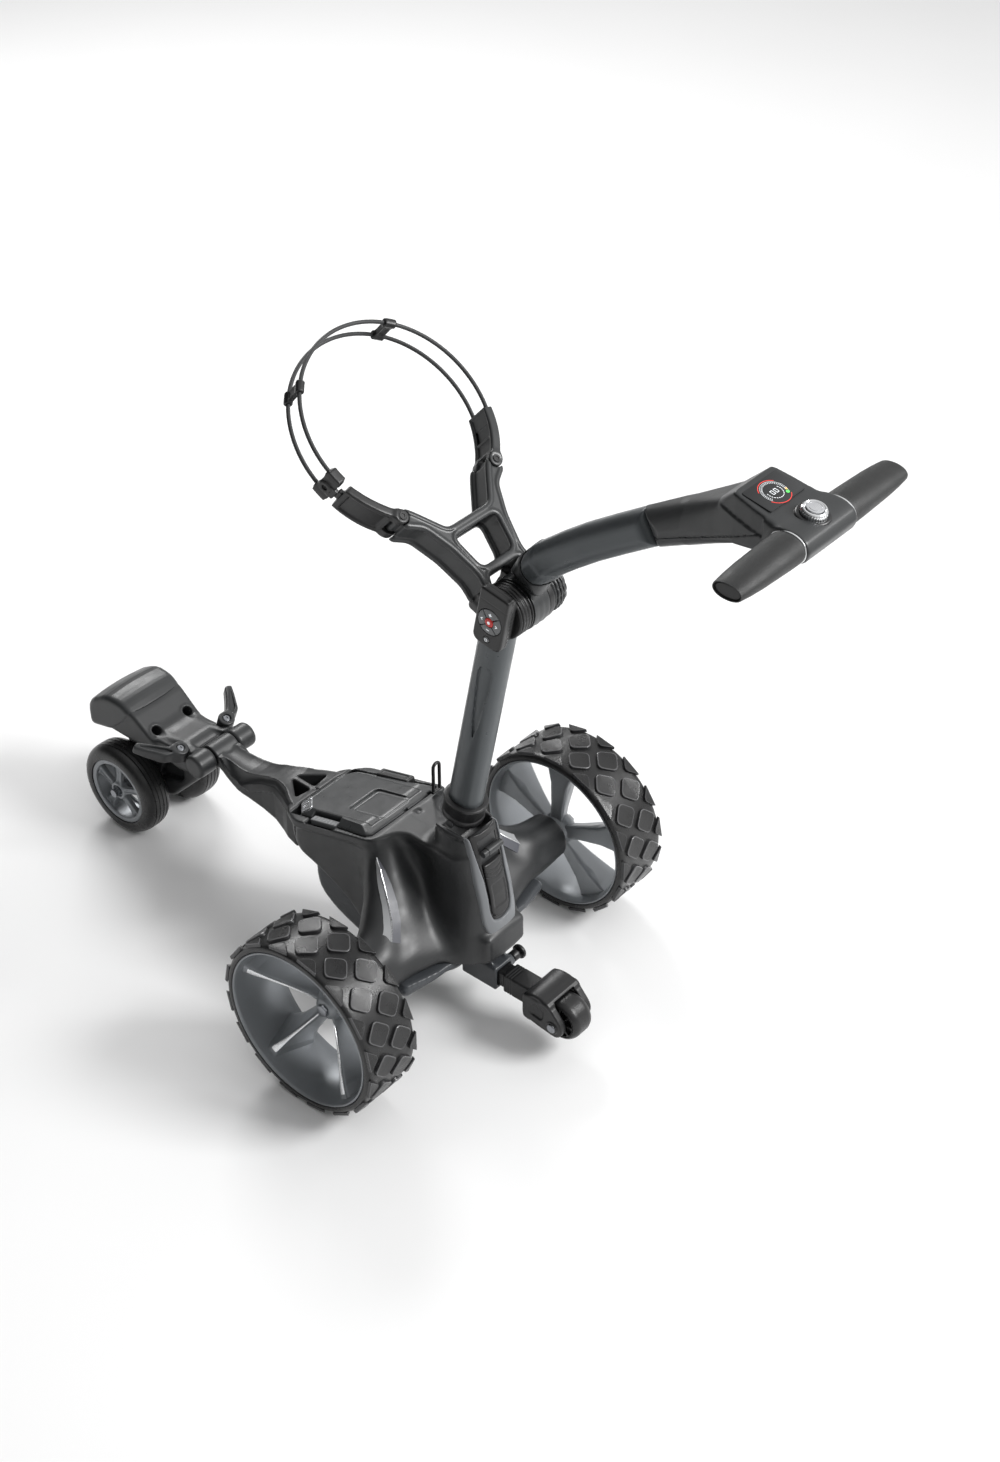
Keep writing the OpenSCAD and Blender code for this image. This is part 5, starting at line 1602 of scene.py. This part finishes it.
NODE_LOOKS = {
    BODY: ["upper_body", "front_arm", "bag_rest_housing", "wing_left", "wing_right"],
    SKIRT: ["lower_body", "axle_housings"],
    TRIM: ["bag_frame", "paddle_left", "paddle_right", "console_housing"],
    BLACK: [
        "battery_case", "latch_lever", "frame_catch", "mast_collar", "joint_barrel", "height_dial",
        "dial_base", "hoop_fittings", "remote_handset", "antitip_arm", "antitip_fork", "pull_knob",
    ],
    LID_GREY: ["battery_lid"],
    BEZEL: ["latch_bezel"],
    TUBE: ["mast_tube", "handle_tube", "bag_rest_pad"],
    RIM: ["rear_rim_left", "rear_rim_right", "front_rim_left", "front_rim_right"],
    TYRE: ["rear_tyre_left", "rear_tyre_right", "front_tyre_left", "front_tyre_right", "antitip_wheel"],
    GRIP: ["grips"],
    CORD: ["hoop_cords"],
    SILVER_AND_HIGHLIGHT: ["side_accents", "grip_rings", "tee_core"],
    CHROME: ["control_dial"],
    STEEL: [
        "hinge_pins", "wheel_bearings", "drive_motors", "handle_pivot_pin", "front_axle", "axle_left",
        "axle_right", "antitip_axle", "pull_pin",
    ],
    KEYS: ["battery_button", "remote_keypad", "remote_power_button", "dial_button"],
    RED: ["remote_stop_button"],
    GLASS: ["console_screen"],
    BOARD: ["controller_board"],
    CELL: ["battery_cells"],
}
for material, names in NODE_LOOKS.items():
    for name in names:
        node = frame["nodes"][name]
        node.data.materials.clear()
        node.data.materials.append(material)


# ---------- camera, floor and light ----------


def make_camera():
    data = bpy.data.cameras.new("camera")
    data.lens = 58.83
    data.sensor_width = 36.0
    data.clip_end = 50
    camera = bpy.data.objects.new("camera", data)
    bpy.context.scene.collection.objects.link(camera)
    camera.location = (-1.76397, AXLE.y - 1.57883, 2.25084)
    camera.rotation_euler = (math.radians(90 - 37.59), 0, math.radians(-49.73))
    bpy.context.scene.camera = camera


def make_floor():
    mesh = bpy.data.meshes.new("floor")
    mesh.from_pydata([(-9, -9, 0), (9, -9, 0), (9, 9, 0), (-9, 9, 0)], [], [(0, 1, 2, 3)])
    floor = bpy.data.objects.new("floor", mesh)
    bpy.context.scene.collection.objects.link(floor)
    look = Nodes("floor_paper", (0.86, 0.86, 0.86), 0.85, specular=0.1)
    look.paint(look.mix(look.noise(3.0), (0.85, 0.85, 0.85), (0.87, 0.87, 0.87)))
    mesh.materials.append(look.material)


def soft_light(name, place, aim, size, power):
    data = bpy.data.lights.new(name, "AREA")
    data.shape = "RECTANGLE"
    data.size, data.size_y = size
    data.energy = power
    light = bpy.data.objects.new(name, data)
    light.location = place
    light.rotation_euler = (Vector(aim) - Vector(place)).to_track_quat("-Z", "Y").to_euler()
    bpy.context.scene.collection.objects.link(light)


def make_light():
    """A studio that is dim on the left and bright behind, above and to the right of the camera."""
    world = bpy.data.worlds.new("studio")
    world.use_nodes = True
    tree = world.node_tree
    coords = tree.nodes.new("ShaderNodeTexCoord")
    dot = tree.nodes.new("ShaderNodeVectorMath")
    dot.operation = "DOT_PRODUCT"
    dot.inputs[1].default_value = Vector((0.55, -0.50, 0.67)).normalized()
    ramp = tree.nodes.new("ShaderNodeMapRange")
    for key, number in zip(("From Min", "From Max", "To Min", "To Max"), (-0.2, 0.95, 0.05, 1.0)):
        ramp.inputs[key].default_value = number
    tree.links.new(coords.outputs["Generated"], dot.inputs[0])
    tree.links.new(dot.outputs["Value"], ramp.inputs["Value"])
    tree.links.new(ramp.outputs["Result"], tree.nodes["Background"].inputs["Strength"])
    tree.nodes["Background"].inputs["Color"].default_value = (1, 1, 1, 1)
    bpy.context.scene.world = world
    bpy.context.scene.view_settings.view_transform = "Standard"
    soft_light("key", (1.3, -2.7, 2.7), (0, 0, 0.3), (1.4, 1.2), 120)
    soft_light("rim", (1.6, 2.6, 2.4), (0, 0, 0.4), (1.6, 1.0), 60)


make_camera()
make_floor()
make_light()
